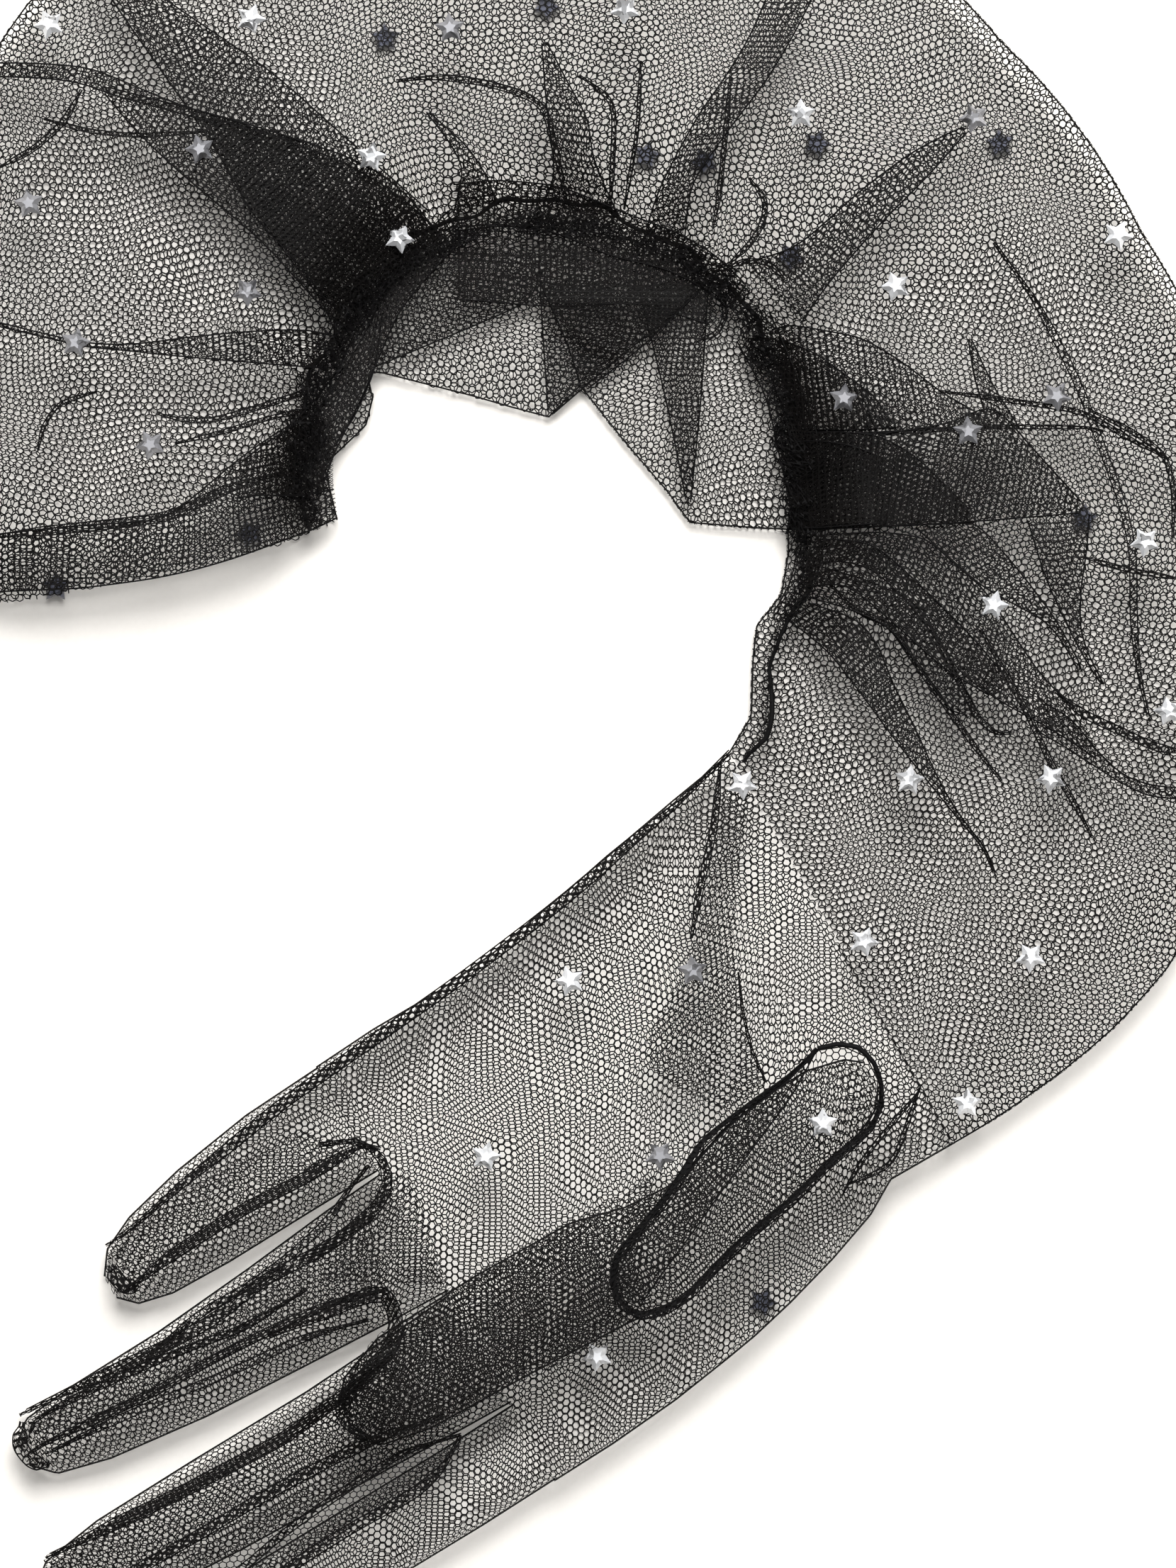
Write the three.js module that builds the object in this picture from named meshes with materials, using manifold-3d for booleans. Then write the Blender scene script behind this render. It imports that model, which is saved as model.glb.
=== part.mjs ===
// A long evening glove of black tulle, lying palm up on a table. The sleeve is drawn up by an elastic
// down its inner side, so that it curls round in a ring of radial pleats, and star stones are set on it.
// Millimetres, +Z up. The origin is on the table under the middle of the palm. -X points to the fingertips.
import * as THREE from 'three';
import { mergeVertices } from 'three/addons/utils/BufferGeometryUtils.js';
import Module from 'manifold-3d';

const wasm = await Module();
wasm.setup();

// Driving dimensions
const CLOTH = 1.2;                 // wall thickness of the cloth
const GAP = 0.3;                   // clearance between neighbouring pieces
const HAND_HEIGHT = 12.6;          // outside height of the hand, lying flat
const THUMB_FOOT = HAND_HEIGHT + GAP;
const KNUCKLE_X = -34.5;           // where the fingers begin
const RING_CENTRE = [60.3, 112.6]; // the sleeve curls round this point
const GROOVE = 1.4;                // half width of the groove that holds the elastic
const GROOVE_HEIGHT = 5.6;         // top of the cloth in the groove
const RIM_HEIGHT = 7.4;            // where the upper panel of the sleeve ends, at its outer edge
const STONE_LIFT = 2.9;            // how high the underside stands where stones lie under it
const LIFT_BLEND = 6;              // turn in degrees over which the underside rises to that
const ELASTIC_RADIUS = 1.2;
const SEAM_RADIUS = 0.8;
const STAR_TIP = 2.9;              // centre of a star to its tip
const STAR_NOTCH = 1.6;            // centre of a star to the notch between two tips
const STAR_HEIGHT = 2.1;
const STAR_GIRDLE = 0.7;           // height of the widest outline
const STAR_TABLE = 0.42;           // size of the flat top against the outline
const STAR_BASE = 0.8;             // size of the flat bottom against the outline

// The sleeve's sections, by their turn round the ring in degrees: radii of the elastic and of the outer
// edge, and the place in plan of the edge of the frill that hangs inside the elastic.
const SLEEVE = [
  { turn: -91, gather: 68.6, rim: 147.3, edgeX: 59.6, edgeY: 47.5 },
  { turn: -84, gather: 65.0, rim: 147.5, edgeX: 67.0, edgeY: 51.6 },
  { turn: -76, gather: 56.5, rim: 148, edgeX: 72.8, edgeY: 61.0 },
  { turn: -70, gather: 53.6, rim: 147.6, edgeX: 76.2, edgeY: 65.5 },
  { turn: -62, gather: 52.4, rim: 143, edgeX: 83.0, edgeY: 68.2 },
  { turn: -54, gather: 50.0, rim: 138.5, edgeX: 87.9, edgeY: 74.2 },
  { turn: -48, gather: 47.4, rim: 135.4, edgeX: 90.0, edgeY: 78.0 },
  { turn: -42, gather: 45.0, rim: 132, edgeX: 85.0, edgeY: 81.2 },
  { turn: -30, gather: 42.8, rim: 125, edgeX: 75.0, edgeY: 88.1 },
  { turn: -10, gather: 41.7, rim: 114.5, edgeX: 74.3, edgeY: 95.0 },
  { turn: 12, gather: 42.0, rim: 110.5, edgeX: 72.0, edgeY: 107.3 },
  { turn: 37, gather: 41.7, rim: 113, edgeX: 70.1, edgeY: 120.0 },
  { turn: 48, gather: 42.8, rim: 113, edgeX: 66.2, edgeY: 119.0 },
  { turn: 60, gather: 44.1, rim: 113.5, edgeX: 62.2, edgeY: 117.9 },
  { turn: 70, gather: 44.1, rim: 115, edgeX: 57.0, edgeY: 123.1 },
  { turn: 80, gather: 44.1, rim: 118, edgeX: 52.0, edgeY: 128.3 },
  { turn: 90, gather: 44.5, rim: 122, edgeX: 47.6, edgeY: 132.6 },
  { turn: 100, gather: 44.9, rim: 125, edgeX: 43.2, edgeY: 136.9 },
  { turn: 110, gather: 44.6, rim: 126, edgeX: 39.8, edgeY: 140.2 },
  { turn: 119, gather: 44.2, rim: 125, edgeX: 37.9, edgeY: 141.6 },
  { turn: 127, gather: 43.8, rim: 122, edgeX: 37.0, edgeY: 140.6 },
  { turn: 136, gather: 44.8, rim: 118, edgeX: 35.8, edgeY: 137.0 },
  { turn: 145, gather: 44.6, rim: 114.5, edgeX: 32.3, edgeY: 133.4 },
  { turn: 155, gather: 46.2, rim: 111, edgeX: 22.0, edgeY: 130.9 },
  { turn: 172, gather: 46.6, rim: 107, edgeX: 18.6, edgeY: 119.6 },
];

// The main pleats: turn at the elastic and at the outer edge, half width in degrees, and height of the crest.
const PLEATS = [
  { turn: -72, rimTurn: -84, half: 3, rise: 1.8 },
  { turn: -61, rimTurn: -76, half: 3, rise: 2.6 },
  { turn: -52, rimTurn: -60, half: 3, rise: 2.8 },
  { turn: -39, rimTurn: -50, half: 4, rise: 2.4 },
  { turn: -22, rimTurn: -39, half: 4, rise: 2.0 },
  { turn: -3, rimTurn: -29, half: 6, rise: 3.2 },
  { turn: 14, rimTurn: 5, half: 5, rise: 2.8 },
  { turn: 26, rimTurn: 16, half: 3, rise: 1.8 },
  { turn: 37, rimTurn: 27, half: 4, rise: 2.6 },
  { turn: 47, rimTurn: 50, half: 3, rise: 2.4 },
  { turn: 59, rimTurn: 64, half: 4, rise: 2.8 },
  { turn: 72, rimTurn: 80, half: 4, rise: 2.2 },
  { turn: 91, rimTurn: 101, half: 6, rise: 3.2 },
  { turn: 117, rimTurn: 112, half: 5, rise: 3.0 },
  { turn: 130, rimTurn: 138, half: 5, rise: 2.8 },
  { turn: 150, rimTurn: 156, half: 5, rise: 2.2 },
];
const SLEEVE_START = { turn: -90.2, rimTurn: -90.2 };
const SLEEVE_END = { turn: 170, rimTurn: 165.6 };
const WIDEST_STEP = 7;             // most degrees between two lines of the upper panel
const BACK_STEP = 8;               // and of the lower one

// Lines along the sleeve. part runs over the frill from its edge to the groove, or over the body from the
// groove to the outer edge. ruffle is the height of the small gathers, pleat the share of a pleat's rise.
const FRILL_LINES = [
  { part: 0, height: 2.9, ruffle: 0.5, pleat: 0.3 },
  { part: 0.4, height: 4.2, ruffle: 0.9, pleat: 0.7 },
  { part: 0.8, height: 5.2, ruffle: 0.6, pleat: 0.5 },
];
const BODY_LINES = [
  { part: 0.05, height: 8.6, ruffle: 0.9, pleat: 0.3 },
  { part: 0.13, height: 12.2, ruffle: 0.8, pleat: 0.8 },
  { part: 0.26, height: 13.8, ruffle: 0.4, pleat: 1 },
  { part: 0.44, height: 14.2, ruffle: 0, pleat: 0.85 },
  { part: 0.62, height: 14.2, ruffle: 0, pleat: 0.65 },
  { part: 0.80, height: 13.6, ruffle: 0, pleat: 0.4 },
  { part: 0.92, height: 11.8, ruffle: 0, pleat: 0.15 },
  { part: 0.975, height: 9.6, ruffle: 0, pleat: 0 },
];
const BACK_LINES = [
  { part: 0.05, height: 0, lift: 0 },
  { part: 0.105, height: 0, lift: 1 },
  { part: 0.45, height: 0, lift: 1 },
  { part: 0.86, height: 0, lift: 1 },
  { part: 0.93, height: 1.4, lift: 0.6 },
  { part: 0.98, height: 4.2, lift: 0 },
];
const LIFTED = [
  { from: -42, to: -33 },
  { from: 0, to: 87 },
  { from: 160, to: 172 },
];

// The hand's sections from knuckles to wrist: the Y of its two edges, and how far the underside is lifted
// near the lower one, over the stone there.
const HAND = [
  { x: KNUCKLE_X, upper: 35.7, lower: -51.8, lift: 0 },
  { x: -22, upper: 36.5, lower: -51.3, lift: 0 },
  { x: -8, upper: 36.6, lower: -50.1, lift: 0 },
  { x: 4, upper: 37.6, lower: -48.3, lift: 0 },
  { x: 10.5, upper: 38.8, lower: -47.2, lift: STONE_LIFT },
  { x: 19.5, upper: 40.4, lower: -45.1, lift: STONE_LIFT },
  { x: 30, upper: 42.3, lower: -42.1, lift: 0 },
  { x: 40, upper: 44.1, lower: -38.6, lift: 0 },
  { x: 46.5, upper: 45.3, lower: -34.8, lift: 0 },
  { x: 59.4, upper: 47.5, lower: -34.8, lift: 0 },
];
// The rounding of the hand's two edges: inset from the edge and height, with the share of the lift.
const HAND_EDGE = [
  { inset: 13, height: 0, lift: 0 },
  { inset: 9, height: 0, lift: 1 },
  { inset: 6, height: 0, lift: 1 },
  { inset: 2.6, height: 0.6, lift: 1 },
  { inset: 0.7, height: 2.6, lift: 1 },
  { inset: 0, height: 5, lift: 0 },
  { inset: 0, height: 8, lift: 0 },
  { inset: 0.9, height: 10.4, lift: 0 },
  { inset: 2.8, height: 12, lift: 0 },
  { inset: 6.5, height: HAND_HEIGHT, lift: 0 },
];

// The fingers from palm to tip: middle and width in plan, and outside height.
const FINGERS = {
  finger_little: [
    { x: KNUCKLE_X - GAP, y: 24.6, width: 21.8, height: 12 },
    { x: -50, y: 23.9, width: 21.2, height: 12 },
    { x: -66, y: 22.4, width: 19.2, height: 11.6 },
    { x: -78, y: 21.0, width: 16.0, height: 10.6 },
    { x: -84.5, y: 20.2, width: 11.5, height: 8.6 },
    { x: -87.5, y: 19.6, width: 5.5, height: 4.6 },
  ],
  finger_ring: [
    { x: KNUCKLE_X - GAP, y: 0.5, width: 24.6, height: 12 },
    { x: -46, y: 0.2, width: 23.4, height: 12 },
    { x: -64, y: -0.4, width: 20.6, height: 12 },
    { x: -84, y: -0.8, width: 17.8, height: 11.6 },
    { x: -103, y: -0.1, width: 15.0, height: 10.6 },
    { x: -113, y: 0.6, width: 11.5, height: 8.6 },
    { x: -116.8, y: 0.9, width: 5.5, height: 4.6 },
  ],
  finger_middle: [
    { x: KNUCKLE_X - GAP, y: -24.0, width: 22.6, height: 12 },
    { x: -46, y: -24.4, width: 21.4, height: 12 },
    { x: -66, y: -24.8, width: 19.6, height: 12 },
    { x: -90, y: -24.8, width: 18.6, height: 11.6 },
    { x: -111, y: -24.7, width: 16.8, height: 10.6 },
    { x: -123, y: -24.4, width: 12.5, height: 8.6 },
    { x: -127.5, y: -24.2, width: 5.5, height: 4.6 },
  ],
  finger_index: [
    { x: KNUCKLE_X - GAP, y: -43.8, width: 15.6, height: 12 },
    { x: -50, y: -44.5, width: 15.6, height: 12 },
    { x: -68, y: -44.9, width: 15.6, height: 11.8 },
    { x: -88, y: -45.2, width: 15.2, height: 11.4 },
    { x: -101, y: -45.2, width: 13.8, height: 10.2 },
    { x: -109, y: -45.0, width: 10.5, height: 8.2 },
    { x: -112.5, y: -44.8, width: 5.0, height: 4.6 },
  ],
};
const TIP_THICKNESS = 1.0;         // how much further the inside stops from the tip than from the sides

// The thumb lies on the palm and points to the fingers. Its mouth is over the slot in the palm.
const THUMB = [
  { x: -61.5, y: -23.3, width: 7, height: 3.6 },
  { x: -58, y: -22.8, width: 14, height: 6.4 },
  { x: -49, y: -22.0, width: 19, height: 8.4 },
  { x: -28, y: -21.8, width: 20.4, height: 9 },
  { x: -8, y: -22.4, width: 21, height: 9.2 },
  { x: 2, y: -24.2, width: 19.6, height: 9.2 },
  { x: 12, y: -23.9, width: 17.6, height: 8.8 },
  { x: 29, y: -19.2, width: 18.6, height: 7.8 },
  { x: 43, y: -17.4, width: 16, height: 7 },
  { x: 50, y: -16.6, width: 11, height: 5.6 },
  { x: 53, y: -16, width: 5, height: 3.6 },
];
const SLOT = { fromX: -12, fromY: -23, toX: 40, toY: -18, radius: 5.8 };
const SEAM_POINTS = [
  [2, -12.8], [12, -13.9], [22, -10.8], [31, -8.4], [43, -7.9], [51.5, -9.6], [55.2, -13.6], [55.3, -18.2],
  [51.5, -23.4], [43, -26.8], [29, -30], [12, -34.1], [2, -35.4], [-8, -34.4],
];

// The stones: place in plan and turn in degrees.
const STARS = [
  [18.8, 225.2, 12], [51.2, 207.3, 40], [81.8, 187.7, 65], [111.1, 174.7, 20], [57.6, 174.5, 50],
  [31.3, 191.4, 5], [54.8, 159.6, 33], [-0.7, 198.6, 70], [25.8, 164.7, 25], [-6.0, 172.2, 48],
  [-3.5, 149.2, 15], [129.4, 142.2, 60], [156.4, 125.8, 10], [168.6, 94.2, 35], [128.7, 106.4, 8],
  [110.4, 93.4, 55], [144.1, 74.3, 30], [126.8, 76.8, 62], [144.8, 43.2, 18], [115.1, 47.0, 44],
  [133.1, 14.3, 2], [59.1, 41.6, 28], [85.8, 27.1, 52], [108.4, 14.4, 14], [34.2, 16.7, 66],
  [63.9, 5.7, 38], [88.8, -12.0, 22], [65.5, -29.4, 58], [13.8, 26.3, 6], [-15.5, 6.2, 46],
  [12.1, -9.6, 26], [40.8, -19.0, 60], [-16.2, -35.6, 18],
];
const STARS_UNDER = [
  [71.0, 193.4, 10], [99.7, 183.6, 42], [101.9, 150.6, 25], [110.5, 144.3, 60], [130.1, 136.8, 33],
  [159.3, 120.0, 5], [115.5, 121.2, 51], [138.2, 52.5, 18], [14.9, -42.8, 36], [3.8, 126.8, 64],
  [-32.0, 136.2, 12],
];

const degrees = (angle) => angle * Math.PI / 180;
const mix = (a, b, t) => a + (b - a) * t;

// A column of a table at one value of another, on straight lines between its rows.
function lookUp(rows, key, value, column) {
  let i = 1;
  while (i < rows.length - 1 && rows[i][key] < value) i++;
  const [a, b] = [rows[i - 1], rows[i]];
  const t = Math.min(1, Math.max(0, (value - a[key]) / (b[key] - a[key])));
  return mix(a[column], b[column], t);
}

function meshOf(name, vertices, triangles, material) {
  const geometry = new THREE.BufferGeometry();
  geometry.setAttribute('position', new THREE.BufferAttribute(new Float32Array(vertices), 3));
  geometry.setIndex(triangles);
  geometry.computeVertexNormals();
  const mesh = new THREE.Mesh(geometry, material);
  mesh.name = name;
  return mesh;
}

function solidOf(vertices, triangles) {
  const geometry = new THREE.BufferGeometry();
  geometry.setAttribute('position', new THREE.BufferAttribute(new Float32Array(vertices), 3));
  geometry.setIndex(triangles);
  const merged = mergeVertices(geometry, 1e-4);
  return new wasm.Manifold(new wasm.Mesh({
    numProp: 3,
    vertProperties: new Float32Array(merged.attributes.position.array),
    triVerts: new Uint32Array(merged.index.array),
  }));
}

function meshOfSolid(name, solid, material) {
  const { vertProperties, triVerts } = solid.getMesh();
  return meshOf(name, Array.from(vertProperties), Array.from(triVerts), material);
}

// A closed body through rings of points, with flat ends. Rings run anticlockwise seen from the last one.
function loft(rings) {
  const n = rings[0].length;
  const vertices = rings.flat(2);
  const triangles = [];
  for (let r = 0; r < rings.length - 1; r++) {
    for (let i = 0; i < n; i++) {
      const a = r * n + i;
      const b = r * n + (i + 1) % n;
      triangles.push(a, b, a + n, b, b + n, a + n);
    }
  }
  const last = (rings.length - 1) * n;
  for (let i = 1; i < n - 1; i++) {
    triangles.push(0, i + 1, i);
    triangles.push(last, last + i, last + i + 1);
  }
  return { vertices, triangles };
}

// An outline moved inwards by a distance, corner by corner. It runs anticlockwise.
function inset(outline, distance) {
  const n = outline.length;
  return outline.map(([y, z], i) => {
    const [py, pz] = outline[(i + n - 1) % n];
    const [qy, qz] = outline[(i + 1) % n];
    const before = new THREE.Vector2(pz - z, y - py).normalize();
    const after = new THREE.Vector2(z - qz, qy - y).normalize();
    const middle = before.clone().add(after).normalize();
    middle.multiplyScalar(distance / Math.max(0.6, middle.dot(after)));
    return [y + middle.x, z + middle.y];
  });
}

const atX = (x, outline) => outline.map(([y, z]) => [x, y, z]);

// The section of a finger: a rounded oval, flat below.
function ovalOutline({ y, width, height }, foot) {
  const corners = 12;
  const squareness = 0.8;
  const bulge = (value) => Math.sign(value) * Math.abs(value) ** squareness;
  const top = bulge(Math.sin(degrees(75)));
  const outline = [];
  for (let i = 0; i < corners; i++) {
    const angle = degrees(15 + i * 360 / corners);
    const across = bulge(Math.cos(angle)) / bulge(Math.cos(degrees(15)));
    outline.push([y + across * width / 2, foot + height / 2 * (1 + bulge(Math.sin(angle)) / top)]);
  }
  return outline;
}

// A body through sections that follow each other towards +X.
function sectionBody(sections) {
  const { vertices, triangles } = loft(sections);
  return solidOf(vertices, triangles);
}

function slotBody(bottom, top) {
  const { fromX, fromY, toX, toY, radius } = SLOT;
  const heading = Math.atan2(toY - fromY, toX - fromX);
  const outline = [];
  const halfRound = 8;
  for (let i = 0; i <= halfRound; i++) {
    const angle = heading - Math.PI / 2 + i * Math.PI / halfRound;
    outline.push([toX + radius * Math.cos(angle), toY + radius * Math.sin(angle)]);
  }
  for (let i = 0; i <= halfRound; i++) {
    const angle = heading + Math.PI / 2 + i * Math.PI / halfRound;
    outline.push([fromX + radius * Math.cos(angle), fromY + radius * Math.sin(angle)]);
  }
  const { vertices, triangles } = loft([bottom, top].map((z) => outline.map(([x, y]) => [x, y, z])));
  return solidOf(vertices, triangles);
}

// The hand's section at one row of its table.
function handOutline({ upper, lower, lift }) {
  const lowSide = HAND_EDGE.map((row) => [lower + row.inset, Math.max(row.height, lift * row.lift)]);
  const highSide = HAND_EDGE.map((row) => [upper - row.inset, row.height]);
  return [...highSide, ...lowSide.reverse()];
}

function makeHand(material) {
  const outer = HAND.map((row) => atX(row.x, handOutline(row)));
  const inner = HAND.map((row) => atX(row.x, inset(handOutline(row), CLOTH)));
  const past = 2;
  const knuckles = inner[0].map(([x, y, z]) => [x - past, y, z]);
  const wrist = inner[inner.length - 1].map(([x, y, z]) => [x + past, y, z]);
  const solid = sectionBody(outer)
    .subtract(sectionBody([knuckles, ...inner, wrist]))
    .subtract(slotBody(HAND_HEIGHT - 2 * CLOTH, HAND_HEIGHT + CLOTH));
  return meshOfSolid('hand', solid, material);
}

function makeFinger(name, rows, material) {
  const fromTip = [...rows].reverse();
  const outer = fromTip.map((row) => atX(row.x, ovalOutline(row, 0)));
  const inner = fromTip.slice(1).map((row) => (
    atX(row.x + TIP_THICKNESS, inset(ovalOutline(row, 0), CLOTH))
  ));
  return meshOfSolid(name, sectionBody(outer).subtract(sectionBody(inner)), material);
}

function makeThumb(material) {
  const outer = THUMB.map((row) => atX(row.x, ovalOutline(row, THUMB_FOOT)));
  const hollow = THUMB.slice(1, -1);
  const inner = hollow.map((row, i) => {
    const towardsMiddle = i === 0 ? TIP_THICKNESS : i === hollow.length - 1 ? -TIP_THICKNESS : 0;
    return atX(row.x + towardsMiddle, inset(ovalOutline(row, THUMB_FOOT), CLOTH));
  });
  const solid = sectionBody(outer)
    .subtract(sectionBody(inner))
    .subtract(slotBody(THUMB_FOOT - CLOTH, THUMB_FOOT + 2 * CLOTH));
  return meshOfSolid('thumb', solid, material);
}

const ringPoint = (turn, radius) => [
  RING_CENTRE[0] + radius * Math.cos(degrees(turn)),
  RING_CENTRE[1] + radius * Math.sin(degrees(turn)),
];

// A place on the sleeve's frill or body, in plan. part runs from the frill's edge to the groove, or on to the rim.
function frillPlace(line, part) {
  const edge = [lookUp(SLEEVE, 'turn', line.turn, 'edgeX'), lookUp(SLEEVE, 'turn', line.turn, 'edgeY')];
  const groove = ringPoint(line.turn, lookUp(SLEEVE, 'turn', line.turn, 'gather') - GROOVE);
  return [mix(edge[0], groove[0], part), mix(edge[1], groove[1], part)];
}

function bodyPlace(line, part) {
  const groove = lookUp(SLEEVE, 'turn', line.turn, 'gather') + GROOVE;
  const rim = lookUp(SLEEVE, 'turn', line.rimTurn, 'rim');
  return ringPoint(mix(line.turn, line.rimTurn, part), mix(groove, rim, part));
}

// The lines of a panel across the sleeve: those given, and plain ones between them that no step is too wide.
function fillLines(given, widest) {
  const lines = [given[0]];
  for (const next of given.slice(1)) {
    const last = lines[lines.length - 1];
    const count = Math.ceil((next.turn - last.turn) / widest);
    for (let i = 1; i < count; i++) {
      lines.push({ turn: mix(last.turn, next.turn, i / count), rimTurn: mix(last.rimTurn, next.rimTurn, i / count) });
    }
    lines.push(next);
  }
  return lines;
}

// A cloth wall from a grid of points of its outer face: each is given its thickness along the mean normal.
// edge says which way the last row and the two end columns are held: inwards, or in their own plane.
function clothWall(name, grid, thickness, rimInwards, material) {
  const rows = grid.length;
  const columns = grid[0].length;
  const facing = thickness > 0 ? 1 : -1;
  const point = (r, c) => new THREE.Vector3(...grid[r][c]);
  const faceNormal = (r, c) => {
    const a = point(r, c);
    const across = point(r + 1, c + 1).sub(a);
    const other = point(r + 1, c).sub(point(r, c + 1));
    return other.cross(across).normalize().multiplyScalar(facing);
  };
  const outer = [];
  const inner = [];
  for (let r = 0; r < rows; r++) {
    for (let c = 0; c < columns; c++) {
      const faces = [];
      for (const [fr, fc] of [[r - 1, c - 1], [r - 1, c], [r, c - 1], [r, c]]) {
        if (fr >= 0 && fc >= 0 && fr < rows - 1 && fc < columns - 1) faces.push(faceNormal(fr, fc));
      }
      const normal = faces.reduce((sum, face) => sum.add(face), new THREE.Vector3()).normalize();
      if (c === 0 || c === columns - 1) {
        const along = point(r, Math.min(c + 1, columns - 1)).sub(point(r, Math.max(c - 1, 0))).setZ(0).normalize();
        normal.addScaledVector(along, -normal.dot(along)).normalize();
      }
      const reach = Math.abs(thickness) / Math.max(0.55, Math.min(...faces.map((face) => face.dot(normal))));
      let shift = normal.clone().multiplyScalar(-reach);
      if (r === 0) shift = new THREE.Vector3(0, 0, -facing * Math.abs(thickness) * 1.05);
      if (r === rows - 1) shift = new THREE.Vector3(...rimInwards[c], 0).multiplyScalar(Math.abs(thickness) * 1.3);
      const p = point(r, c);
      outer.push(p.x, p.y, p.z);
      p.add(shift);
      inner.push(p.x, p.y, p.z);
    }
  }
  const count = rows * columns;
  const triangles = [];
  const quad = (a, b, c, d) => triangles.push(a, b, c, a, c, d);
  for (let r = 0; r < rows - 1; r++) {
    for (let c = 0; c < columns - 1; c++) {
      const a = r * columns + c;
      quad(a, a + columns, a + columns + 1, a + 1);
      quad(count + a, count + a + 1, count + a + columns + 1, count + a + columns);
    }
  }
  for (let c = 0; c < columns - 1; c++) {
    quad(c, c + 1, count + c + 1, count + c);
    const a = (rows - 1) * columns + c;
    quad(a, count + a, count + a + 1, a + 1);
  }
  for (let r = 0; r < rows - 1; r++) {
    const a = r * columns;
    quad(a, count + a, count + a + columns, a + columns);
    const b = a + columns - 1;
    quad(b, b + columns, count + b + columns, count + b);
  }
  if (facing < 0) {
    for (let i = 0; i < triangles.length; i += 3) {
      [triangles[i + 1], triangles[i + 2]] = [triangles[i + 2], triangles[i + 1]];
    }
  }
  return meshOf(name, [...outer, ...inner], triangles, material);
}

const inwardsAt = (line) => [-Math.cos(degrees(line.rimTurn)), -Math.sin(degrees(line.rimTurn))];

function makeSleeveFront(material) {
  const given = [SLEEVE_START];
  for (const { turn, rimTurn, half, rise } of PLEATS) {
    given.push({ turn: turn - half, rimTurn: rimTurn - half * 0.8 });
    given.push({ turn, rimTurn, rise });
    given.push({ turn: turn + half * 0.6, rimTurn: rimTurn + half * 0.5 });
  }
  given.push(SLEEVE_END);
  const lines = fillLines(given, WIDEST_STEP);
  const ruffle = (c) => (c === 0 || c === lines.length - 1 ? 0 : c % 2 - 0.5);
  const heightAt = (row, line, c) => row.height + row.ruffle * ruffle(c) + row.pleat * (line.rise ?? 0);
  const grid = [];
  for (const row of FRILL_LINES) {
    grid.push(lines.map((line, c) => [...frillPlace(line, row.part), heightAt(row, line, c)]));
  }
  grid.push(lines.map((line) => [...frillPlace(line, 1), GROOVE_HEIGHT]));
  grid.push(lines.map((line) => [...bodyPlace(line, 0), GROOVE_HEIGHT]));
  for (const row of BODY_LINES) {
    grid.push(lines.map((line, c) => [...bodyPlace(line, row.part), heightAt(row, line, c)]));
  }
  grid.push(lines.map((line) => [...bodyPlace(line, 1), RIM_HEIGHT]));
  return clothWall('sleeve_front', grid, CLOTH, lines.map(inwardsAt), material);
}

// How much the underside is lifted at one turn of the ring, from 0 to 1.
function liftAt(turn) {
  const shares = LIFTED.map(({ from, to }) => 1 - Math.max(from - turn, turn - to, 0) / LIFT_BLEND);
  return Math.max(0, ...shares);
}

function makeSleeveBack(material) {
  const given = [SLEEVE_START];
  for (const { from, to } of LIFTED) {
    for (const turn of [from - LIFT_BLEND, from, to, to + LIFT_BLEND]) {
      if (turn < SLEEVE_END.turn - 2) given.push({ turn, rimTurn: turn });
    }
  }
  given.push(SLEEVE_END);
  const lines = fillLines(given, BACK_STEP);
  const grid = [0, 0.5, 1].map((part) => lines.map((line) => [...frillPlace(line, part), 0]));
  for (const row of BACK_LINES) {
    grid.push(lines.map((line) => [
      ...bodyPlace(line, row.part),
      Math.max(row.height, row.lift * STONE_LIFT * liftAt(mix(line.turn, line.rimTurn, row.part))),
    ]));
  }
  grid.push(lines.map((line) => [...bodyPlace(line, 1), RIM_HEIGHT - GAP]));
  return clothWall('sleeve_back', grid, -CLOTH, lines.map(inwardsAt), material);
}

// A round cord along a route that is open at both ends.
function makeCord(name, route, radius, steps, sides, material) {
  const shape = new THREE.Shape();
  shape.absarc(0, 0, radius, 0, 2 * Math.PI);
  const geometry = new THREE.ExtrudeGeometry(shape, {
    steps, bevelEnabled: false, curveSegments: sides / 2, extrudePath: route,
  });
  geometry.deleteAttribute('normal');
  geometry.deleteAttribute('uv');
  const merged = mergeVertices(geometry, 1e-4);
  merged.computeVertexNormals();
  const mesh = new THREE.Mesh(merged, material);
  mesh.name = name;
  return mesh;
}

function makeElastic(material) {
  const height = GROOVE_HEIGHT + GAP + ELASTIC_RADIUS;
  const margin = 1.2;
  const points = [];
  const count = 30;
  for (let i = 0; i <= count; i++) {
    const turn = mix(SLEEVE_START.turn + margin, SLEEVE_END.turn - margin, i / count);
    points.push(new THREE.Vector3(...ringPoint(turn, lookUp(SLEEVE, 'turn', turn, 'gather')), height));
  }
  return makeCord('ruching_elastic', new THREE.CatmullRomCurve3(points), ELASTIC_RADIUS, 52, 6, material);
}

function makeThumbSeam(material) {
  const height = HAND_HEIGHT + GAP + SEAM_RADIUS;
  const points = SEAM_POINTS.map(([x, y]) => new THREE.Vector3(x, y, height));
  return makeCord('thumb_seam', new THREE.CatmullRomCurve3(points), SEAM_RADIUS, 36, 6, material);
}

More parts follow.
